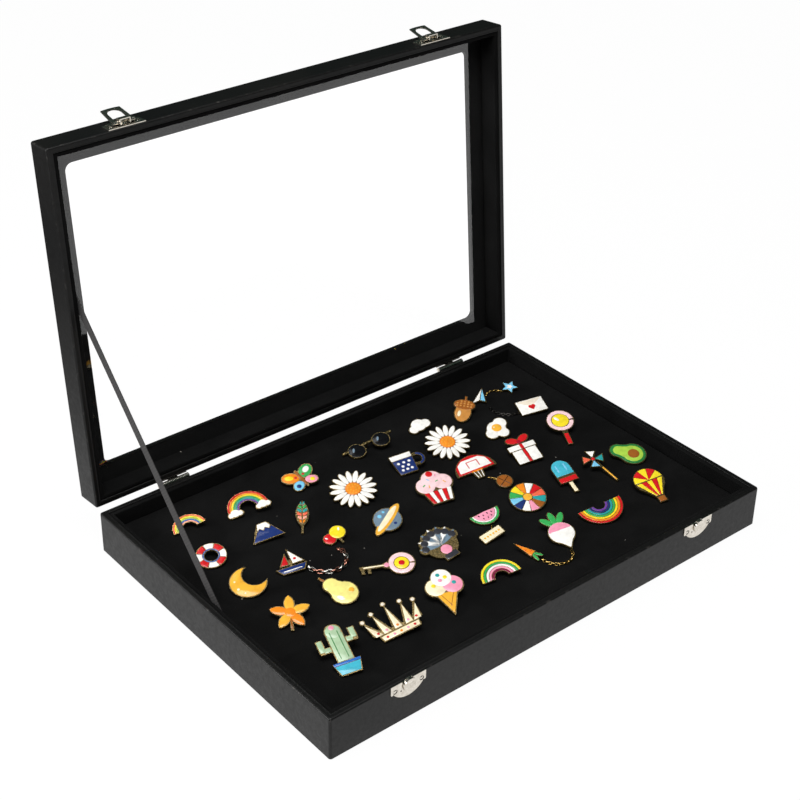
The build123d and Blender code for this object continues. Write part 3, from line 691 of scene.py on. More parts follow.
def moon() -> Design:
    """Orange crescent moon with small dots."""
    dots = [Cell(disc(r, x, y), Glaze.CREAM, 1) for r, x, y in ((0.8, -6.6, -2.4), (0.6, -4.2, -6.2),
                                                               (0.6, -6.6, 3.0))]
    return [Cell(crescent(9.75, 7.45, 5.2), Glaze.AMBER), *dots]


def planet() -> Design:
    """Ringed planet."""
    ring = [Cell(oval(12.7, 3.1, 0, 0, 24), Glaze.AMBER, 1), Cell(oval(10.6, 1.9, 0.1, 0.5, 24), Glaze.CREAM, 2)]
    cap = [(7.3 * math.cos(math.radians(a)), 7.3 * math.sin(math.radians(a))) for a in range(40, 191, 15)]
    spots = [Cell(disc(1.3, -2.4, 4.2), Glaze.SKY, 4), Cell(disc(0.9, 1.2, 5.4), Glaze.SKY, 4),
             Cell(disc(1.0, 1.8, -4.9), Glaze.NAVY, 1)]
    return [Cell(disc(7.9), Glaze.SLATE), *ring, Cell(cap, Glaze.SLATE, 3), *spots]


def small_cloud() -> Design:
    """Small white cloud."""
    return puff(14.0, step=0)


def small_star() -> Design:
    """Light blue star with a white middle."""
    return [Cell(star(5.1, 2.45), Glaze.SKY), Cell(star(2.4, 1.2), Glaze.WHITE, 1)]


def maple_leaf() -> Design:
    """Autumn leaf of five lobes."""
    cells = [Cell(disc(2.9), Glaze.ORANGE, 1)]
    for index in range(5):
        angle = 72 * index
        lean = math.radians(angle)
        x, y = -5.4 * math.sin(lean), 5.4 * math.cos(lean)
        cells.append(Cell(lens(11.0, 5.0, x, y, angle), Glaze.ORANGE if index % 2 else Glaze.AMBER))
    return cells + [Cell(bar(0.9, 6.5, 0, -7.4), Glaze.BROWN, 2)]


def cactus() -> Design:
    """Potted cactus."""
    arms = [Cell(bar(3.4, 2.7, -6.4, 2), Glaze.SAGE), Cell(bar(2.7, 7.2, -9, 5), Glaze.SAGE, 1),
            Cell(bar(3.4, 2.7, 6.4, 5), Glaze.SAGE), Cell(bar(2.7, 6.2, 9, 8), Glaze.SAGE, 1)]
    body = [Cell(bar(8.1, 16.6, 0, 1.6), Glaze.SAGE), Cell(disc(4.05, 0, 11.8), Glaze.SAGE, 1)]
    ribs = [Cell(bar(0.5, 17, x, 3.2), Glaze.LEAF, 2) for x in (-2.0, 2.0)]
    pot = [Cell(taper(10.2, 13.4, 5.6, 0, -11.7), Glaze.TURQUOISE, 1),
           Cell(bar(14.2, 1.5, 0, -7.9), Glaze.BLUE, 2)]
    return arms + body + ribs + pot + [Cell(disc(1.5, 0, 14.2), Glaze.PINK, 3)]


def pear() -> Design:
    """Yellow pear with a leaf."""
    body = [Cell(disc(7.1, 0, -4), Glaze.LEMON), Cell(disc(4.3, 0, 4.6), Glaze.LEMON, 1),
            Cell(taper(12.6, 7.8, 8, 0, 0.6), Glaze.LEMON, 2)]
    return body + [Cell(oval(1.2, 2.2, -4.0, -4.4, 10), Glaze.WHITE, 3),
                   Cell(bar(0.8, 3.6, 0, 10.6), Glaze.BROWN, 1), Cell(disc(1.6, 3.4, -6.0), Glaze.AMBER, 3)]


def turnip() -> Design:
    """White turnip with a pink shoulder."""
    leaves = [Cell(oval(1.8, 4.5, x, y, t), Glaze.GREEN, s)
              for s, (x, y, t) in enumerate(((-4, 8.6, 38), (4, 8.6, -38), (0, 10, 0)))]
    shoulder = [(7.2 * math.cos(math.radians(a)), -1 + 7.2 * math.sin(math.radians(a)))
                for a in range(15, 166, 10)]
    root = [(-4.4, -6.2), (0, -12.0), (4.4, -6.2)]
    return leaves + [Cell(disc(7.3, 0, -1), Glaze.WHITE, 3), Cell(root, Glaze.WHITE, 2),
                     Cell(shoulder, Glaze.PINK, 4)]


def carrot() -> Design:
    """Carrot with a green top."""
    marks = [Cell(bar(0.4, w, x, y), Glaze.RED, 1) for w, x, y in ((1.6, 2.4, 0.9), (1.5, -0.4, -0.6),
                                                                  (1.0, -3.4, 0.3))]
    return [Cell([(-7.3, 0), (4.0, -2.1), (4.0, 2.1)], Glaze.ORANGE),
            Cell(oval(2.7, 0.75, 6.6, 1.3, 20), Glaze.GREEN),
            Cell(oval(2.7, 0.75, 6.6, -1.3, -20), Glaze.GREEN), *marks]


def acorn() -> Design:
    """Acorn in its cup."""
    scales = [Cell(disc(0.7, x, y), Glaze.TAN, 2) for y, n in ((2.4, 5), (4.4, 5), (6.2, 3))
              for x in ((i - (n - 1) / 2) * 2.2 for i in range(n))]
    return [Cell(oval(4.9, 7.7, 0, -3), Glaze.TAN), Cell(oval(6.5, 4.1, 0, 3.6), Glaze.BROWN, 1),
            Cell(bar(1.1, 3.2, 0, 9.0), Glaze.BROWN, 2), Cell(oval(1.1, 2.6, -2.0, -4.4), Glaze.CREAM, 1),
            *scales]


def avocado() -> Design:
    """Half an avocado."""
    skin = [Cell(disc(7.7, 0, -3), Glaze.LEAF), Cell(disc(4.7, 0, 6.0), Glaze.LEAF, 1),
            Cell(taper(13.8, 8.8, 9, 0, 2.2), Glaze.LEAF, 2)]
    flesh = [Cell(disc(6.2, 0, -3), Glaze.LIME, 3), Cell(disc(3.3, 0, 5.6), Glaze.LIME, 4),
             Cell(taper(10.6, 6.2, 8, 0, 1.8), Glaze.LIME, 5)]
    return skin + flesh + [Cell(disc(3.5, 0, -3.4), Glaze.BROWN, 6)]


def mug() -> Design:
    """Navy mug with a white rim and dots."""
    dots = [Cell(disc(0.95, x, y), Glaze.WHITE, 1) for x, y in
            ((-3.4, 0.8), (0, 0.8), (3.4, 0.8), (-1.8, -2.0), (1.8, -2.0), (-2.9, -4.8), (0, -4.8), (2.9, -4.8))]
    return [Cell(taper(10.8, 12.5, 10.8, 0, -2.1), Glaze.NAVY), Cell(taper(12.7, 13.2, 3.6, 0, 5.6), Glaze.WHITE),
            Cell(band(4.6, 3.3, -80, 80, 8.4, 0.6), Glaze.NAVY), *dots]


def cupcake() -> Design:
    """Cupcake with a striped case."""
    stripes = []
    for index in range(6):
        low, high = -5.9 + 2.0 * index, -8.1 + 2.75 * index
        shape = [(low, -10.4), (low + 1.75, -10.4), (high + 2.45, -1.6), (high, -1.6)]
        stripes.append(Cell(shape, (Glaze.RED, Glaze.WHITE)[index % 2]))
    cream = [Cell(disc(5.6, -5.2, 3.6), Glaze.BLUSH, 1), Cell(disc(5.6, 5.2, 3.6), Glaze.BLUSH, 2),
             Cell(disc(6.2, 0, 7.2), Glaze.BLUSH, 3)]
    bits = [Cell(bar(2.0, 0.7, x, y, t), glaze, 5) for x, y, t, glaze in (
        (-6, 4, 30, Glaze.GREEN), (-2.4, 7.5, -40, Glaze.SKY), (2.2, 5.0, 15, Glaze.GREEN),
        (6.2, 3.0, -60, Glaze.AMBER), (3.0, 9.2, 70, Glaze.PINK), (-3.4, 2.4, 80, Glaze.AMBER))]
    return stripes + cream + bits + [Cell(disc(2.1, 0, 11.2), Glaze.RED, 6)]


def ice_cream() -> Design:
    """Cone with three scoops."""
    cone = [Cell([(-5.7, -0.6), (5.7, -0.6), (0, -14.6)], Glaze.AMBER)]
    grid = [Cell(bar(0.45, 9, x, -5.6, t), Glaze.BROWN, 1) for x, t in ((-1.5, 25), (1.5, -25))]
    scoops = [Cell(disc(5.5, -4.6, 3.8), Glaze.CREAM, 1), Cell(disc(5.5, 4.6, 3.8), Glaze.PINK, 2),
              Cell(disc(5.5, 0, 9.2), Glaze.WHITE, 3)]
    drops = [Cell(disc(1.2, x, y), glaze, 5) for x, y, glaze in (
        (-1.4, 11.2, Glaze.TEAL), (2.0, 9.0, Glaze.YELLOW), (-5.6, 5.0, Glaze.YELLOW), (5.6, 4.6, Glaze.TEAL),
        (-1.2, 7.6, Glaze.PINK))]
    return cone + grid + scoops + drops


def fried_egg() -> Design:
    """Fried egg."""
    whites = ((5.9, 0, 0), (4.1, 4.6, 2.4), (3.9, -4.6, -1.6), (3.5, 1.4, -4.8))
    return [Cell(disc(r, x, y), Glaze.WHITE, s) for s, (r, x, y) in enumerate(whites)] + [
        Cell(disc(3.1, 0.4, 0.4), Glaze.AMBER, 5), Cell(oval(0.8, 0.5, -0.7, 1.6, 30), Glaze.CREAM, 6)]


def ice_lolly() -> Design:
    """Turquoise ice lolly on its stick."""
    return [Cell(bar(11.1, 6.0, 0, 4.4), Glaze.TURQUOISE), Cell(band(5.55, 0, 0, 180, 0, 7.2), Glaze.TURQUOISE, 1),
            Cell(bar(11.1, 3.4, 0, -2.0), Glaze.RED), Cell(bar(2.2, 7.4, 0, -8.3), Glaze.CREAM),
            Cell(bar(1.0, 5.5, -2.6, 7.0), Glaze.SKY, 2), Cell(bar(1.0, 5.5, 2.6, 7.0), Glaze.SKY, 2)]


def melon_slice() -> Design:
    """Slice of water melon."""
    seeds = [Cell(oval(0.4, 0.75, x, y), Glaze.BLACK, 1) for x, y in
             ((-4.0, -1.8), (-1.4, -2.4), (1.4, -2.0), (4.0, -2.2), (-2.4, -4.6), (0.4, -4.9), (2.8, -4.4))]
    return [Cell(band(9.0, 7.9, 183, 357), Glaze.GREEN), Cell(band(7.7, 6.9, 184, 356), Glaze.WHITE),
            Cell(band(6.7, 0, 184, 356, 0, -0.1), Glaze.PINK), *seeds]


def lifebuoy() -> Design:
    """Lifebuoy in red and white."""
    cells = [Cell(band(8.2, 4.9, 45 * i + 2, 45 * i + 43), (Glaze.RED, Glaze.WHITE)[i % 2]) for i in range(8)]
    return cells + [Cell(band(4.6, 4.1, 60 * i, 60 * i + 57), Glaze.BLUE) for i in range(6)]


def paper_plane() -> Design:
    """White paper plane."""
    return [Cell([(-5.6, -1.3), (6.4, 4.6), (-1.0, -2.0)], Glaze.WHITE),
            Cell([(-0.4, -2.2), (6.6, 4.3), (1.3, -4.9)], Glaze.SKY)]


def sailboat() -> Design:
    """Sailing boat."""
    hull = [(-8.1, -4.0), (8.1, -4.0), (5.7, -7.5), (-5.7, -7.5)]
    return [Cell(hull, Glaze.NAVY), Cell([(1.3, -2.0), (1.3, 7.0), (7.1, -2.0)][::-1], Glaze.WHITE),
            Cell([(-1.3, -2.0), (-5.5, -2.0), (-1.3, 4.4)][::-1], Glaze.RED),
            Cell(bar(10.4, 0.7, 0, -6.2), Glaze.WHITE, 1), Cell(disc(0.9, 3.2, 0.6), Glaze.RED, 1)]


def balloons() -> Design:
    """Two balloons."""
    return [Cell(disc(4.4, 2.6, 0.8), Glaze.YELLOW, 1), Cell(disc(3.5, -3.6, -0.6), Glaze.RED),
            Cell(oval(0.6, 1.2, 4.4, 2.2, -35), Glaze.WHITE, 2), Cell(oval(0.5, 0.9, -5.0, 0.6, 30), Glaze.WHITE, 1)]


COLOUR_WHEEL = (Glaze.RED, Glaze.WHITE, Glaze.ORANGE, Glaze.YELLOW, Glaze.GREEN, Glaze.SKY, Glaze.NAVY,
                Glaze.WHITE, Glaze.PINK, Glaze.BROWN, Glaze.TEAL, Glaze.CORAL)


def beach_ball() -> Design:
    """Beach ball of twelve panels."""
    panels = [Cell(band(10.3, 3.0, 30 * i + 1.2, 30 * i + 28.8), glaze) for i, glaze in enumerate(COLOUR_WHEEL)]
    return [*panels, Cell(disc(2.6), Glaze.AMBER, 1)]


def butterfly() -> Design:
    """Butterfly with many-coloured wings."""
    cells = []
    for side in (-1, 1):
        cells += [Cell(oval(5.1, 3.7, side * 5.2, 3.4, side * 35), (Glaze.ORANGE, Glaze.GREEN)[side > 0]),
                  Cell(oval(3.7, 2.9, side * 4.4, -4.0, -side * 30), (Glaze.SKY, Glaze.PINK)[side > 0]),
                  Cell(oval(2.6, 1.8, side * 6.0, 4.0, side * 35), (Glaze.YELLOW, Glaze.WHITE)[side > 0], 1),
                  Cell(disc(1.5, side * 4.8, -4.4), (Glaze.NAVY, Glaze.YELLOW)[side > 0], 1),
                  Cell(disc(0.9, side * 2.6, 2.0), Glaze.RED, 1)]
    return [*cells, Cell(oval(1.0, 6.6), Glaze.BROWN, 2)]


def backboard() -> Design:
    """Hoop board with a red frame."""
    face = [(x, y) for x, y in band(12.5, 0, 28, 152, 0, -6)[:-1]]
    board = [(-11.6, -5.5), (11.6, -5.5), *[(x, min(y, 7.4)) for x, y in face]]
    inside = [(-10.3, -4.4), (10.3, -4.4), (9.2, 1.8), (5.6, 4.4), (-5.6, 4.4), (-9.2, 1.8)]
    net = [Cell(bar(0.5, 5.0, x, -8.6, t), Glaze.WHITE, 1) for x, t in ((-2.0, 8), (0, 0), (2.0, -8))]
    square = [Cell(bar(w, h, x, y), Glaze.RED, 2) for w, h, x, y in (
        (7.0, 0.7, 0, 2.2), (0.7, 5.0, -3.4, 0), (0.7, 5.0, 3.4, 0))]
    return [Cell(board, Glaze.RED), Cell(inside, Glaze.WHITE, 1), *square,
            Cell(bar(7.0, 1.0, 0, -5.6), Glaze.ORANGE, 3), *net]


def small_ball() -> Design:
    """Brown ball with dark seams."""
    seams = [Cell(bar(8.6, 0.5, 0, 0, t), Glaze.BLACK, 1) for t in (20, 110)]
    return [Cell(disc(4.55), Glaze.BROWN), *seams]


def pinwheel() -> Design:
    """Toy windmill on a stick."""
    blades = []
    for index, glaze in enumerate((Glaze.TEAL, Glaze.WHITE, Glaze.CORAL, Glaze.SKY)):
        turn = math.radians(-90 + 90 * index)
        flat = ((0.5, 1.3), (4.7, 3.9), (0.5, 6.7))
        blades.append(Cell([(u * math.cos(turn) - v * math.sin(turn), u * math.sin(turn) + v * math.cos(turn))
                            for u, v in flat], glaze))
    return [*blades, Cell(disc(1.1), Glaze.RED, 1), Cell(bar(0.8, 12, 0, -14.2), Glaze.AMBER)]


def air_balloon() -> Design:
    """Hot-air balloon in yellow and red."""
    gores = [Cell(band(8.7, 0, 180 - 36 * i - 35.0, 180 - 36 * i - 1.0, 0, 4.2),
                  (Glaze.YELLOW, Glaze.RED)[i % 2]) for i in range(5)]
    skirt = []
    for index in range(5):
        high, low = -8.4 + 3.4 * index, -2.1 + 0.86 * index
        skirt.append(Cell([(low, -8.0), (low + 0.7, -8.0), (high + 3.1, 3.6), (high, 3.6)],
                          (Glaze.YELLOW, Glaze.RED)[index % 2]))
    return gores + skirt + [Cell(bar(4.2, 3.6, 0, -10.9), Glaze.BROWN, 1)]


def crown() -> Design:
    """Crown set with small stones."""
    cells = [Cell([(-10.4, -8.5), (10.4, -8.5), (11.0, -5.6), (-11.0, -5.6)], Glaze.CREAM)]
    tops = (7, 9.5, 12, 9.5, 7)
    stones = (Glaze.RED, Glaze.PINK, Glaze.ORANGE, Glaze.PINK, Glaze.RED)
    for x, top, stone in zip((-15, -8.5, 0, 8.5, 15), tops, stones):
        foot = x * 0.75
        cells += [Cell([(foot - 2.1, -4.6), (foot + 2.1, -4.6), (x, top - 2.2)], Glaze.CREAM),
                  Cell(disc(1.05, x, top), Glaze.IVORY, 1), Cell(disc(0.8, foot, -3.0), stone, 2)]
    return cells + [Cell(disc(0.8, x, -7.1), glaze, 1) for x, glaze in (
        (-8, Glaze.RED), (-4, Glaze.PINK), (0, Glaze.ORANGE), (4, Glaze.PINK), (8, Glaze.RED))]


def key() -> Design:
    """Old-fashioned key with a stone in its bow."""
    return [Cell(band(7.0, 4.4, 0, 350, 8, 0), Glaze.BLUSH), Cell(disc(4.0, 8, 0), Glaze.YELLOW, 1),
            Cell(disc(1.8, 8, 0), Glaze.RED, 2), Cell(bar(11.5, 0.9, -7.2, 0), Glaze.CREAM, 1),
            Cell(disc(1.5, -0.2, 0), Glaze.PINK, 2)]


def magnifier() -> Design:
    """Magnifying glass."""
    return [Cell(band(8.1, 5.6, 0, 350, 0, 3), Glaze.BLUSH), Cell(disc(5.2, 0, 3), Glaze.YELLOW, 1),
            Cell(oval(1.0, 2.0, -2.0, 4.6, 35), Glaze.WHITE, 2), Cell(bar(2.5, 8.6, 0, -12.2), Glaze.RED)]


def envelope() -> Design:
    """White envelope closed with a heart."""
    flap = [(-8.2, 5.2), (0, -0.8), (8.2, 5.2)]
    heart = [Cell(disc(1.3, -1.0, -0.4), Glaze.RED, 2), Cell(disc(1.3, 1.0, -0.4), Glaze.RED, 3),
             Cell([(-2.2, -0.9), (0, -3.4), (2.2, -0.9)], Glaze.RED, 4)]
    return [Cell(bar(17.2, 11.2), Glaze.WHITE), Cell(flap, Glaze.IVORY, 1), *heart]


def gift_box() -> Design:
    """White box with a red bow."""
    return [Cell(bar(6.4, 10.2, -4.4, -3.7), Glaze.WHITE), Cell(bar(6.4, 10.2, 4.4, -3.7), Glaze.WHITE),
            Cell(bar(1.8, 10.2, 0, -3.7), Glaze.RED), Cell(bar(17.2, 3.7, 0, 3.9), Glaze.WHITE, 1),
            Cell(bar(2.2, 3.7, 0, 3.9), Glaze.RED, 2), Cell(oval(3.8, 2.2, -3.6, 9.6, -25), Glaze.RED, 2),
            Cell(oval(3.8, 2.2, 3.6, 9.6, 25), Glaze.RED, 2), Cell(disc(1.4, 0, 7.6), Glaze.CRIMSON, 3)]


def sunglasses() -> Design:
    """Dark glasses in a thin frame."""
    glints = [Cell(oval(0.7, 1.8, x, 1.2, -35), Glaze.SLATE, 1) for x in (-10.2, 7.0)]
    return [Cell(disc(5.1, -8.6, 0), Glaze.BLACK), Cell(disc(5.1, 8.6, 0), Glaze.BLACK), *glints]


def tag() -> Design:
    """Cream tag with gold dots."""
    return [Cell(bar(14.0, 5.4), Glaze.CREAM)] + [Cell(disc(0.7, x, 0), Glaze.AMBER, 1) for x in
                                                  (-5, -3, -1, 1, 3, 5)]


def feather() -> Design:
    """Feather in three colours."""
    cells = []
    for index in range(6):
        y = -7 + 2.6 * index
        reach = 2.9 - 0.07 * (y + 1) ** 2 / 2
        glaze = (Glaze.ORANGE, Glaze.SALMON, Glaze.CORAL, Glaze.TEAL, Glaze.GREEN, Glaze.TEAL)[index]
        for side in (-1, 1):
            shape = [(side * 0.35, y), (side * reach, y + 1.4), (side * reach, y + 3.0), (side * 0.35, y + 1.9)]
            cells.append(Cell(shape if side > 0 else shape[::-1], glaze))
    return cells


def scallop() -> Design:
    """Scallop shell with ribs."""
    cells = []
    for index, angle in enumerate(range(-72, 73, 24)):
        lean = math.radians(angle)
        x, y = 8.6 * math.sin(lean), 8.6 * math.cos(lean) - 4
        cells.append(Cell(lens(13.5, 3.3, x * 0.72, (y + 4) * 0.72 - 3.4, -angle),
                          (Glaze.SLATE, Glaze.WHITE)[index % 2]))
        cells.append(Cell(disc(2.2, x * 1.12, (y + 4) * 1.12 - 4), Glaze.CHARCOAL, 1))
    return [*cells, Cell(disc(3.2, 0, -7.6), Glaze.PINK, 2), Cell(bar(8.0, 3.2, 0, -12.2), Glaze.CHARCOAL, 3)]


# ---- Modelling steps ----
class Bench:
    """Modelling steps that every sub-assembly shares."""

    @staticmethod
    def clear() -> None:
        """Leave nothing selected."""
        bpy.ops.object.select_all(action="DESELECT")

    @staticmethod
    def named(name: str) -> bpy.types.Object:
        """Name the object just made."""
        made = bpy.context.active_object
        made.name = name
        made.data.name = name
        return made

    @staticmethod
    def prism(outline: Outline, low: float, high: float, rounding: float) -> bpy.types.Object:
        """Raise a flat outline into a plate with a rounded upper rim.

        Args:
            outline: its points, anticlockwise, in millimetres.
            low: height of its underside in millimetres.
            high: height of its top in millimetres.
            rounding: width of the rounded rim in millimetres.

        Returns:
            The new object.
        """
        Bench.clear()
        bpy.ops.mesh.primitive_circle_add(vertices=len(outline), radius=MM, fill_type="NGON")
        made = bpy.context.active_object
        for vertex, (x, y) in zip(made.data.vertices, outline):
            vertex.co = (x * MM, y * MM, low * MM)
        bpy.ops.object.mode_set(mode="EDIT")
        bpy.ops.mesh.select_all(action="SELECT")
        bpy.ops.mesh.extrude_region_move(TRANSFORM_OT_translate={"value": (0, 0, (high - low) * MM)})
        bpy.ops.mesh.bevel(offset=rounding * MM, segments=2, affect="EDGES")
        bpy.ops.mesh.select_all(action="SELECT")
        bpy.ops.mesh.normals_make_consistent(inside=False)
        bpy.ops.object.mode_set(mode="OBJECT")
        return made

    @staticmethod
    def join(parts: list[bpy.types.Object], name: str) -> bpy.types.Object:
        """Join objects into one.

        Args:
            parts: the objects.
            name: the name of the result.

        Returns:
            The joined object.
        """
        Bench.clear()
        for part in parts:
            part.select_set(True)
        bpy.context.view_layer.objects.active = parts[0]
        if len(parts) > 1:
            bpy.ops.object.join()
        bpy.ops.object.transform_apply(location=True, rotation=True, scale=True)
        bpy.ops.object.shade_smooth_by_angle(angle=math.radians(50))
        return Bench.named(name)

    @staticmethod
    def dress(piece: bpy.types.Object, finish: Finish) -> None:
        """Give the whole piece one finish."""
        piece.data.materials.clear()
        piece.data.materials.append(finish.material())


@dataclass
class CaseShell:
    """Finishes of the CAD nodes: boards, leatherette, glass, fittings."""

    finishes: dict[str, Finish] = field(default_factory=lambda: {
        "hinge": NICKEL, "nails": NICKEL, "latch": NICKEL, "catch": NICKEL, "tack": NICKEL,
        "stay_strap": RIBBON, "window": GLASS, "pins_": GILT, "pin_chains": BRASS,
        "base_leatherette": LEATHERETTE, "lid_leatherette": LID_LEATHERETTE, "liner": VELVET,
        "lid_": LINING, "base_underside": FELT, "base_": BOARD, "pad_velvet": VELVET, "pad_foam": FOAM,
        "pad_board": BOARD})

    def dress(self, nodes: dict[str, bpy.types.Object]) -> None:
        """Give each CAD node the finish of the first word that its name holds.

        Args:
            nodes: the CAD nodes by name.
        """
        for name, node in nodes.items():
            for word, finish in self.finishes.items():
                if word in name:
                    Bench.dress(node, finish)
                    break
            else:
                LOG.warning("no finish for %s", name)
        LOG.info("dressed %d CAD nodes", len(nodes))


@dataclass
class VelvetPad:
    """The velvet-covered pad that the pins are pressed into."""

    edge_radius_mm: float = 2.4
    inset_mm: float = 1.9
    dip_mm: float = 0.18
    cuts: int = 60

    def build(self) -> bpy.types.Object:
        """Model the pad's cover in the place of its CAD solid.

        Returns:
            The cover.
        """
        low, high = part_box("pad_velvet")
        inset = Vector((self.inset_mm * MM, self.inset_mm * MM, 0))
        low, high = low + inset, high - inset
        Bench.clear()
        bpy.ops.mesh.primitive_cube_add(size=1, location=(low + high) / 2, scale=high - low)
        bpy.ops.object.transform_apply(location=True, rotation=True, scale=True)
        cover = Bench.named("pad_cover")
        bpy.ops.object.mode_set(mode="EDIT")
        bpy.ops.mesh.select_all(action="SELECT")
        bpy.ops.mesh.bevel(offset=self.edge_radius_mm * MM, segments=4, affect="EDGES")
        bpy.ops.mesh.select_mode(type="FACE")
        bpy.ops.mesh.select_all(action="DESELECT")
        bpy.ops.object.mode_set(mode="OBJECT")
        for polygon in cover.data.polygons:
            polygon.select = polygon.center.z > high.z - 1e-6
        bpy.ops.object.mode_set(mode="EDIT")
        bpy.ops.mesh.subdivide(number_cuts=self.cuts)
        bpy.ops.object.mode_set(mode="OBJECT")
        for vertex in cover.data.vertices:
            if vertex.co.z > high.z - 1e-6:
                wave = noise.noise(Vector((vertex.co.x * 22, vertex.co.y * 22, 0.0)))
                vertex.co.z -= self.dip_mm * MM * (0.5 + 0.5 * wave)
        bpy.ops.object.shade_smooth_by_angle(angle=math.radians(50))
        Bench.dress(cover, VELVET)
        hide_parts("pad_velvet", "pad_foam")
        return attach(cover, "base")


@dataclass
class RimLiners:
    """Velvet-covered card strips inside the walls, and the leatherette turned in over each rim."""

    half_mm: Point = (175.0, 120.0)
    wall_mm: float = 3.9
    liner_mm: float = 3.0
    liner_drop_mm: float = 0.5
    liner_round_mm: float = 0.8
    turn_in_mm: float = 1.3
    turn_in_height_mm: float = 1.6
    turn_in_round_mm: float = 0.6
    turn_in_proud_mm: float = 0.12

    def ring(self, name: str, inset: float, thickness: float, low: float, high: float, rounding: float,
             round_low: bool) -> bpy.types.Object:
        """Model four mitred strips that stand in a rectangle, in millimetres.

        Args:
            name: the ring's name.
            inset: how far its outer faces stand inside the case's sides.
            thickness: the strips' thickness.
            low: height of the lower edges.
            high: height of the upper edges.
            rounding: radius of the rounded long edges.
            round_low: whether the lower edges are rounded, and not the upper ones.

        Returns:
            The ring, with its mouth edges rounded.
        """
        strips = []
        for turn in range(4):
            half, reach = (self.half_mm[turn % 2] - inset, self.half_mm[1 - turn % 2] - inset)
            Bench.clear()
            bpy.ops.mesh.primitive_cube_add(
                size=1, location=(0, (thickness / 2 - reach) * MM, (low + high) / 2 * MM),
                scale=(2 * half * MM, thickness * MM, (high - low) * MM))
            bpy.ops.object.transform_apply(location=True, rotation=True, scale=True)
            strip = bpy.context.active_object
            mouth = (low if round_low else high) * MM
            for edge in strip.data.edges:
                ends = [strip.data.vertices[i].co for i in edge.vertices]
                edge.select = all(abs(e.z - mouth) < 1e-6 for e in ends) and abs(ends[0].x - ends[1].x) > 1e-4
            for polygon in strip.data.polygons:
                polygon.select = False
            bpy.ops.object.mode_set(mode="EDIT")
            bpy.ops.mesh.select_mode(type="EDGE")
            bpy.ops.mesh.bevel(offset=rounding * MM, segments=4, affect="EDGES")
            for side in (-1, 1):
                bpy.ops.mesh.select_all(action="SELECT")
                bpy.ops.mesh.bisect(plane_co=(side * half * MM, -reach * MM, 0), plane_no=(side, 1, 0),
                                    use_fill=True, clear_outer=True)
            bpy.ops.object.mode_set(mode="OBJECT")
            strip.data.transform(Matrix.Rotation(turn * math.pi / 2, 4, "Z"))
            strips.append(strip)
        return Bench.join(strips, name)

    def build(self, hinge: dict) -> None:
        """Model the liners and turned-in rims of the base and of the opened lid.

        Args:
            hinge: the lid's joint.
        """
        pad_low, base_high = (corner.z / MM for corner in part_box("base_liner_front"))
        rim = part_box("base_leatherette")[1].z / MM
        pivot = Vector(hinge["pos_m"])
        opening = Matrix.Rotation(-math.radians(hinge["range_deg"][1]), 4, "X")
        turned = Matrix.Translation(pivot) @ opening @ Matrix.Translation(-pivot)
        lid_mouth = rim + 0.3
        liner_names = {body: [f"{body}_liner_{side}" for side in ("front", "back", "left", "right")]
                       for body in ("base", "lid")}
        for body, low, high, drop in (("base", pad_low, base_high, -self.liner_drop_mm),
                                      ("lid", lid_mouth, lid_mouth + 14.5, self.liner_drop_mm)):
            lid = body == "lid"
            ends = (low + drop, high) if lid else (low, rim + drop)
            liner = self.ring(f"{body}_liner", self.wall_mm, self.liner_mm, *ends, self.liner_round_mm, lid)
            edge = lid_mouth if lid else rim
            span = ((edge - self.turn_in_proud_mm, edge + self.turn_in_height_mm) if lid else
                    (edge - self.turn_in_height_mm, edge + self.turn_in_proud_mm))
            inset = self.wall_mm - self.turn_in_mm + 0.15
            roll = self.ring(f"{body}_rim_turn_in", inset, self.turn_in_mm, *span, self.turn_in_round_mm, lid)
            Bench.dress(liner, VELVET)
            Bench.dress(roll, LID_LEATHERETTE if lid else LEATHERETTE)
            for piece in (liner, roll):
                if lid:
                    piece.data.transform(turned)
                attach(piece, body)
            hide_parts(*liner_names[body])
        LOG.info("lined the walls")


@dataclass
class UndersideFelt:
    """The felt sheet that the case stands on."""

    corner_mm: float = 1.6

    def build(self) -> bpy.types.Object:
        """Model the sheet in the place of its CAD solid.

        Returns:
            The sheet.
        """
        low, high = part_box("base_underside_felt")
        Bench.clear()
        bpy.ops.mesh.primitive_cube_add(size=1, location=(low + high) / 2, scale=high - low)
        bpy.ops.object.transform_apply(location=True, rotation=True, scale=True)
        sheet = Bench.named("underside_felt_sheet")
        bpy.ops.object.mode_set(mode="EDIT")
        bpy.ops.mesh.select_mode(type="EDGE")
        bpy.ops.mesh.select_all(action="DESELECT")
        bpy.ops.object.mode_set(mode="OBJECT")
        for edge in sheet.data.edges:
            ends = [sheet.data.vertices[i].co for i in edge.vertices]
            edge.select = abs(ends[0].z - ends[1].z) > 0.5 * (high - low).z
        bpy.ops.object.mode_set(mode="EDIT")
        bpy.ops.mesh.bevel(offset=self.corner_mm * MM, segments=4, affect="EDGES")
        bpy.ops.object.mode_set(mode="OBJECT")
        Bench.dress(sheet, FELT)
        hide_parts("base_underside_felt")
        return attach(sheet, "base")


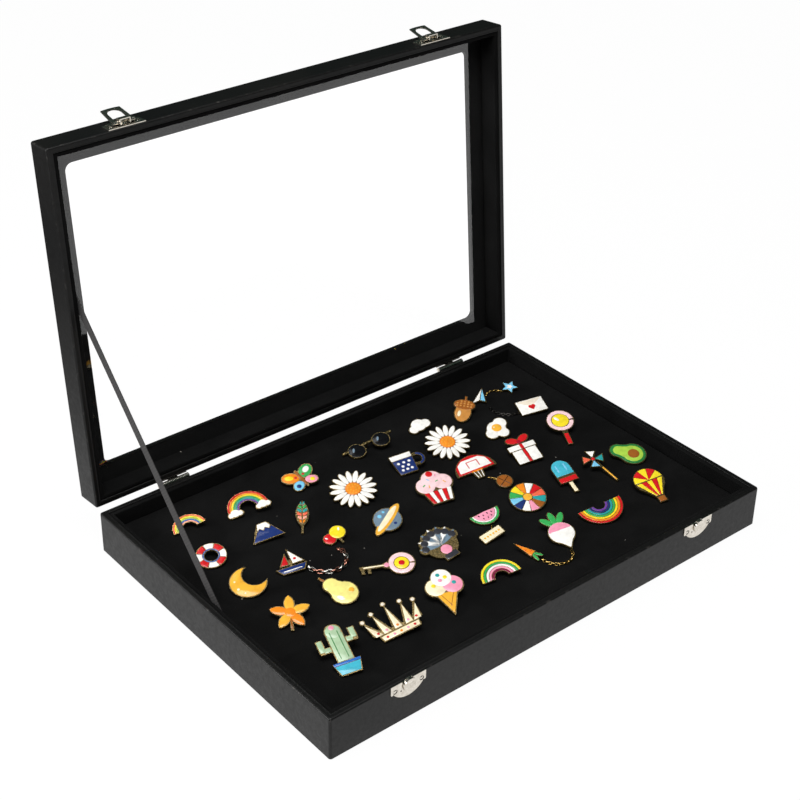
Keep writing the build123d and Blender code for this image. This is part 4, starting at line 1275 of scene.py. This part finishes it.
@dataclass
class StayStrap:
    """The ribbon that holds the lid back."""

    width_mm: float = 7.2
    thickness_mm: float = 0.5
    tail_mm: float = 2.8
    twist_mm: float = 0.25
    liner_step_mm: float = 1.9
    cuts_along: int = 90
    cuts_across: int = 4

    def tack(self, name: str, node: bpy.types.Object, body: str) -> None:
        """Set a nickel tack through the liner at the place of its CAD solid.

        Args:
            name: the new tack's name.
            node: its CAD node.
            body: the body that it rides on.
        """
        mesh = node.data.copy()
        tack = bpy.data.objects.new(name, mesh)
        bpy.context.scene.collection.objects.link(tack)
        Bench.clear()
        tack.select_set(True)
        bpy.context.view_layer.objects.active = tack
        bpy.ops.object.mode_set(mode="EDIT")
        bpy.ops.mesh.select_all(action="SELECT")
        bpy.ops.mesh.remove_doubles(threshold=1e-6)
        bpy.ops.object.mode_set(mode="OBJECT")
        mesh.transform(Matrix.Translation((self.liner_step_mm * MM, 0, 0)))
        bpy.ops.object.shade_smooth_by_angle(angle=math.radians(40))
        Bench.dress(tack, NICKEL)
        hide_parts(node.name)
        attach(tack, body)

    def build(self, nodes: dict[str, bpy.types.Object]) -> bpy.types.Object:
        """Model the ribbon between its two tacks.

        Args:
            nodes: the CAD nodes by name.

        Returns:
            The ribbon.
        """
        self.tack("stay_tack_base", nodes["strap_base_tack"], "base")
        self.tack("stay_tack_lid", nodes["strap_lid_tack"], "lid")
        base_low, base_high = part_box("strap_base_tack")
        lid_low, lid_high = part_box("strap_lid_tack")
        low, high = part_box("stay_strap")
        start, end = (base_low + base_high) / 2, (lid_low + lid_high) / 2
        start.x = end.x = (low.x + high.x) / 2 + self.liner_step_mm * MM
        run = end - start
        length = run.length + 2 * self.tail_mm * MM
        Bench.clear()
        bpy.ops.mesh.primitive_grid_add(x_subdivisions=self.cuts_along, y_subdivisions=self.cuts_across, size=1)
        ribbon = Bench.named("stay_ribbon")
        along, across = run.normalized(), Vector((1, 0, 0)).cross(run.normalized())
        middle = (start + end) / 2
        for vertex in ribbon.data.vertices:
            u, v = vertex.co.x, vertex.co.y
            lift = self.twist_mm * MM * math.sin(2.2 * math.pi * (u + 0.5)) * v
            vertex.co = middle + along * (u * length) + across * (v * self.width_mm * MM) + Vector((lift, 0, 0))
        for loop in ribbon.data.uv_layers.active.data:
            loop.uv = (loop.uv[0] * length * 10, loop.uv[1] * self.width_mm * MM * 10)
        ribbon.data.uv_layers.active.name = "UVMap"
        thick = ribbon.modifiers.new("thickness", "SOLIDIFY")
        thick.thickness = self.thickness_mm * MM * 0.8
        thick.offset = 0.0
        bpy.ops.object.modifier_apply(modifier="thickness")
        bpy.ops.object.shade_smooth_by_angle(angle=math.radians(50))
        Bench.dress(ribbon, RIBBON)
        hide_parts("stay_strap")
        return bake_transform(ribbon)


@dataclass(frozen=True)
class Pin:
    """One pin: its design, its place and turn on the pad, and a spot where its plate is solid."""

    name: str
    design: Callable[[], Design]
    x: float
    y: float
    turn: float = 0.0
    spot: Point = (0.0, 0.0)


@dataclass
class EnamelPins:
    """Enamel laid into the cast plates of the pins, which lean on the pad towards the front left."""

    enamel_mm: float = 0.22
    sunk_mm: float = 0.06
    step_mm: float = 0.05
    rounding_mm: float = 0.14
    plate_mm: float = 1.4
    size: float = 1.14
    lean_deg: float = 14.0
    lean_axis: tuple[float, float, float] = (0.77, -0.64, 0.0)
    pins: tuple[Pin, ...] = (
        Pin("small_rainbow", small_rainbow, -133.6, 79.9, -6, (0, 7)),
        Pin("cloud_rainbow", cloud_rainbow, -93.0, 74.2, -12, (0, 8.5)),
        Pin("rose_rainbow", rose_rainbow, -12.4, -79.0, -12, (0, 8)),
        Pin("tall_rainbow", tall_rainbow, 84.6, -64.0, 170, (0, 9)),
        Pin("daisy_left", daisy, -28.8, 47.3), Pin("daisy_right", daisy, 55.5, 51.3, 12),
        Pin("mountain", mountain, -99.6, 46.4, -12), Pin("moon", moon, -137.1, 10.9, -12, (-6, -3.4)),
        Pin("planet", planet, -32.0, 7.9), Pin("cloud", small_cloud, 55.2, 81.7),
        Pin("star", small_star, 139.9, 80.8, 10), Pin("leaf", maple_leaf, -134.4, -28.2, -30),
        Pin("cactus", cactus, -132.0, -74.2, -16), Pin("pear", pear, -98.7, -28.0, 18),
        Pin("turnip", turnip, 45.6, -69.5, -14), Pin("carrot", carrot, 16.7, -69.1, -73),
        Pin("acorn", acorn, 92.5, 77.0, -50), Pin("avocado", avocado, 144.4, -32.5, 35),
        Pin("mug", mug, 17.0, 50.7, -14), Pin("cupcake", cupcake, 14.5, 14.6, -16),
        Pin("ice_cream", ice_cream, -50.7, -71.2, -22), Pin("fried_egg", fried_egg, 94.4, 44.5),
        Pin("ice_lolly", ice_lolly, 91.1, -28.2, -14), Pin("melon", melon_slice, 21.8, -22.8, -8, (0, -4)),
        Pin("lifebuoy", lifebuoy, -139.8, 46.8, 0, (0, 6)), Pin("sailboat", sailboat, -105.7, 12.3, -16, (0, -4)),
        Pin("balloons", balloons, -67.4, 17.0, 0, (2, 1)), Pin("beach_ball", beach_ball, 55.2, -28.9),
        Pin("backboard", backboard, 51.9, 21.4, -12), Pin("ball", small_ball, 57.2, -4.5),
        Pin("pinwheel", pinwheel, 118.0, -25.5), Pin("air_balloon", air_balloon, 128.2, -70.5, -14, (0, 2)),
        Pin("crown", crown, -91.7, -72.5, -8, (0, -6)), Pin("key", key, -60.5, -27.0, -28, (4, 0)),
        Pin("magnifier", magnifier, 131.6, 18.5, -24, (0, 2)), Pin("envelope", envelope, 133.9, 51.3, -18),
        Pin("gift_box", gift_box, 90.2, 11.6, -14), Pin("sunglasses", sunglasses, 12.0, 82.4, -4, (0, 2.4)),
        Pin("tag", tag, 10.9, -43.5), Pin("paper_plane", paper_plane, 112.3, 83.4),
        Pin("butterfly", butterfly, -47.3, 79.2), Pin("feather", feather, -71.2, 45.7, -36),
        Pin("scallop", scallop, -22.0, -29.3, 0, (0, -2)))

    def place(self, pin: Pin, plates: list[bpy.types.Object]) -> Matrix:
        """Find where a pin's cast plate lies, by looking down on it.

        Args:
            pin: the pin.
            plates: the CAD nodes of the cast plates.

        Returns:
            The place of the plate's upper face, scaled as the plate is.
        """
        lean = Matrix.Rotation(math.radians(self.lean_deg), 4, Vector(self.lean_axis))
        turned = lean @ Matrix.Rotation(math.radians(pin.turn), 4, "Z")
        seat = turned @ Vector((*(self.size * MM * c for c in pin.spot), self.plate_mm * MM))
        above = Vector((pin.x * MM + seat.x, pin.y * MM + seat.y, 0.1))
        hits = [found[1].z for found in (plate.ray_cast(above, (0, 0, -1)) for plate in plates) if found[0]]
        centre = Matrix.Translation((pin.x * MM, pin.y * MM, max(hits) - seat.z))
        grown = Matrix.Diagonal((self.size, self.size, 1.0, 1.0))
        return centre @ turned @ Matrix.Translation((0, 0, self.plate_mm * MM)) @ grown

    def build(self, nodes: dict[str, bpy.types.Object]) -> None:
        """Fill every pin's cells and set each pin's enamel on its plate.

        Args:
            nodes: the CAD nodes by name.
        """
        plates = [node for name, node in nodes.items() if name.startswith("pins_")]
        for pin in self.pins:
            cells = []
            for cell in pin.design():
                high = self.enamel_mm + self.step_mm * cell.step
                part = Bench.prism(cell.outline, -self.sunk_mm, high, self.rounding_mm)
                Bench.dress(part, cell.glaze.finish())
                cells.append(part)
            enamel = Bench.join(cells, f"enamel_{pin.name}")
            enamel.data.transform(self.place(pin, plates))
            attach(enamel, "base")
        LOG.info("enamelled %d pins", len(self.pins))


@dataclass
class PinChains:
    """Short link chains between pins."""

    wire_share: float = 0.27
    pitch_share: float = 1.65
    pad_top_mm: float = 19.5
    runs: tuple[tuple[str, Point, Point, Point, float, tuple[Finish, ...]], ...] = (
        ("balloon", (-98.0, 2.8), (-88.4, -9.4), (-72.0, 5.5), 1.7, (SILVER, ROSE_METAL)),
        ("turnip", (20.2, -80.4), (28.0, -91.0), (40.6, -85.0), 1.1, (BRASS,)),
        ("star", (121.5, 85.5), (127.0, 87.2), (133.0, 83.0), 0.9, (BRASS,)),
        ("envelope", (122.5, 53.5), (113.5, 58.0), (111.8, 70.0), 1.1, (BLACK_METAL,)),
        ("ball", (53.5, 6.5), (55.8, 4.0), (56.4, 1.4), 0.8, (BRASS,)),
        ("tag", (19.5, -34.4), (17.8, -36.0), (17.0, -39.2), 0.8, (BRASS,)))

    @staticmethod
    def along(start: Point, middle: Point, end: Point, pitch: float) -> list[tuple[Vector, float]]:
        """Places on the arc through three points.

        Args:
            start: first point.
            middle: a point on the way.
            end: last point.
            pitch: the distance between places.

        Returns:
            Each place with the arc's direction there in radians.
        """
        a, b, c = (complex(*p) for p in (start, middle, end))
        w = (c - a) / (b - a)
        centre = (a - b) * (w - abs(w) ** 2) / (2j * w.imag) - a
        centre = -centre
        radius = abs(a - centre)
        first = math.atan2((a - centre).imag, (a - centre).real)
        turn = math.atan2((c - centre).imag, (c - centre).real) - first
        way = math.atan2((b - centre).imag, (b - centre).real) - first
        turn %= math.tau
        if way % math.tau > turn:
            turn -= math.tau
        count = max(2, round(abs(turn) * radius / pitch))
        places = []
        for index in range(count + 1):
            angle = first + turn * index / count
            spot = centre + radius * complex(math.cos(angle), math.sin(angle))
            places.append((Vector((spot.real, spot.imag)), angle + math.copysign(math.pi / 2, turn)))
        return places

    def link(self, radius: float) -> bpy.types.Object:
        """One oval link of a mean radius in millimetres about the origin, long along X."""
        Bench.clear()
        bpy.ops.mesh.primitive_torus_add(major_radius=radius * MM, minor_radius=self.wire_share * radius * MM,
                                         major_segments=12, minor_segments=6)
        made = bpy.context.active_object
        made.scale = (1.25, 0.8, 1.0)
        bpy.ops.object.transform_apply(location=True, rotation=True, scale=True)
        return made

    def build(self) -> None:
        """Lay every chain on the pad."""
        for name, start, middle, end, radius, finishes in self.runs:
            links = []
            for index, (spot, angle) in enumerate(self.along(start, middle, end, self.pitch_share * radius)):
                link = self.link(radius)
                roll = math.radians(22 if index % 2 else -40)
                lift = radius * (0.8 * abs(math.sin(roll)) + self.wire_share)
                place = Matrix.Translation((spot.x * MM, spot.y * MM, (self.pad_top_mm + lift) * MM))
                link.data.transform(place @ Matrix.Rotation(angle, 4, "Z") @ Matrix.Rotation(roll, 4, "X"))
                Bench.dress(link, finishes[index // 2 % len(finishes)])
                links.append(link)
            chain = Bench.join(links, f"chain_{name}")
            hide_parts("pin_chains")
            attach(chain, "base")
        LOG.info("laid %d chains", len(self.runs))


@dataclass
class Studio:
    """Pale floor, soft light and the photograph's camera."""

    floor_size: float = 8.0
    white_share: float = 0.97
    room: str = "#26332f"
    # Centre, reach and far end of the floor's painted pool of light, which only reflections see.
    gloss_pool_middle: tuple[float, float, float] = (0.2, -0.6, 0.0)
    gloss_pool_reach: tuple[float, float] = (0.8, 1.2)
    gloss_pool_end: float = 0.08
    camera_place: tuple[float, float, float] = (-0.57869, -0.65993, 0.65339)
    camera_way: tuple[float, float, float] = (0.554, 0.667, -0.4975)
    camera_roll: float = 0.876
    lens_mm: float = 75.3
    shift_down: float = -0.08

    def floor(self) -> None:
        """Floor that shows white to the camera and keeps the shadow; to glossy rays it shows a painted pool of light
        that glows near the case and dims away from it.
        """
        Bench.clear()
        bpy.ops.mesh.primitive_plane_add(size=self.floor_size)
        floor = Bench.named("floor")
        made = bpy.data.materials.new("floor_white")
        made.use_nodes = True
        tree = made.node_tree
        tree.nodes.clear()
        place = add(tree, "ShaderNodeTexCoord").outputs["Object"]
        away = add(tree, "ShaderNodeVectorMath", {0: place, 1: self.gloss_pool_middle}, operation="DISTANCE")
        # Painted light: for glossy rays the floor glows as a pool, full near the case and dimming to a low glow
        # further out.
        gloss_pool_glow = add(tree, "ShaderNodeMapRange", {
            "Value": away.outputs["Value"], "From Min": self.gloss_pool_reach[0], "From Max": self.gloss_pool_reach[1],
            "To Min": 1.0, "To Max": self.gloss_pool_end}, interpolation_type="SMOOTHSTEP")
        path = add(tree, "ShaderNodeLightPath")
        paper = add(tree, "ShaderNodeBsdfDiffuse", {"Color": linear("#ffffff")})
        white = add(tree, "ShaderNodeEmission", {"Color": linear("#ffffff"), "Strength": 1.0})
        mirrored = add(tree, "ShaderNodeEmission", {"Color": linear("#ffffff"), "Strength": gloss_pool_glow.outputs[0]})
        seen = add(tree, "ShaderNodeMath", {0: path.outputs["Is Camera Ray"], 1: path.outputs["Is Transmission Ray"]},
                   operation="MAXIMUM")
        share = add(tree, "ShaderNodeMath", {0: seen.outputs[0], 1: self.white_share}, operation="MULTIPLY")
        lit = add(tree, "ShaderNodeMixShader", {0: share.outputs[0], 1: paper.outputs[0], 2: white.outputs[0]})
        mixed = add(tree, "ShaderNodeMixShader", {
            0: path.outputs["Is Glossy Ray"], 1: lit.outputs[0], 2: mirrored.outputs[0]})
        add(tree, "ShaderNodeOutputMaterial", {"Surface": mixed.outputs[0]})
        floor.data.materials.append(made)

    def lamp(self, name: str, place: tuple[float, float, float], aim: tuple[float, float, float],
             size: tuple[float, float], power: float) -> None:
        """Add a soft rectangular lamp.

        Args:
            name: its name.
            place: its centre.
            aim: the point that it faces.
            size: its width and height.
            power: its power in watts.
        """
        data = bpy.data.lights.new(name, "AREA")
        data.shape = "RECTANGLE"
        data.size, data.size_y = size
        data.energy = power
        lamp = bpy.data.objects.new(name, data)
        lamp.location = place
        lamp.rotation_euler = (Vector(aim) - Vector(place)).to_track_quat("-Z", "Y").to_euler()
        bpy.context.scene.collection.objects.link(lamp)

    def world(self) -> None:
        """Dim grey room, dark green-grey in gloss, white where the camera sees past the floor."""
        world = bpy.data.worlds.new("studio_room")
        bpy.context.scene.world = world
        world.use_nodes = True
        tree = world.node_tree
        tree.nodes.clear()
        path = add(tree, "ShaderNodeLightPath")
        tone = add(tree, "ShaderNodeMix", {0: path.outputs["Is Camera Ray"], 6: grey(0.16), 7: grey(1.0)},
                   data_type="RGBA")
        room = add(tree, "ShaderNodeMix", {
            0: path.outputs["Is Glossy Ray"], 6: tone.outputs[2], 7: linear(self.room)}, data_type="RGBA")
        back = add(tree, "ShaderNodeBackground", {"Color": room.outputs[2], "Strength": 1.0})
        add(tree, "ShaderNodeOutputWorld", {"Surface": back.outputs[0]})

    def camera(self) -> None:
        """Camera at the photograph's place and angle."""
        way = Vector(self.camera_way).normalized()
        right = way.cross(Vector((0, 0, 1))).normalized()
        up = right.cross(way)
        roll = math.radians(self.camera_roll)
        turned_right = math.cos(roll) * right + math.sin(roll) * up
        turned_up = -math.sin(roll) * right + math.cos(roll) * up
        data = bpy.data.cameras.new("photo_camera")
        data.lens = self.lens_mm
        data.sensor_width = 36.0
        data.shift_y = self.shift_down
        data.clip_start = 0.01
        camera = bpy.data.objects.new("photo_camera", data)
        basis = Matrix((turned_right, turned_up, -way)).transposed().to_4x4()
        camera.matrix_world = Matrix.Translation(self.camera_place) @ basis
        bpy.context.scene.collection.objects.link(camera)
        bpy.context.scene.camera = camera

    def build(self) -> None:
        """Set up the floor, light and camera."""
        self.floor()
        self.world()
        self.lamp("top_softbox", (-0.3, -0.2, 1.5), (0, 0, 0), (1.2, 1.0), 24.0)
        self.lamp("left_softbox", (-1.3, 0.5, 0.5), (-0.1, 0, 0.05), (0.8, 0.6), 14.0)
        self.camera()
        bpy.context.scene.view_settings.view_transform = "Standard"


def main() -> None:
    """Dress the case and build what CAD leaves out."""
    logging.basicConfig(level=logging.INFO)
    random.seed(7)
    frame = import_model()
    CaseShell().dress(frame["nodes"])
    VelvetPad().build()
    UndersideFelt().build()
    RimLiners().build(next(joint for joint in frame["joints"] if joint["name"] == "lid_hinge"))
    StayStrap().build(frame["nodes"])
    EnamelPins().build(frame["nodes"])
    PinChains().build()
    Studio().build()


if __name__ == "__main__":
    main()
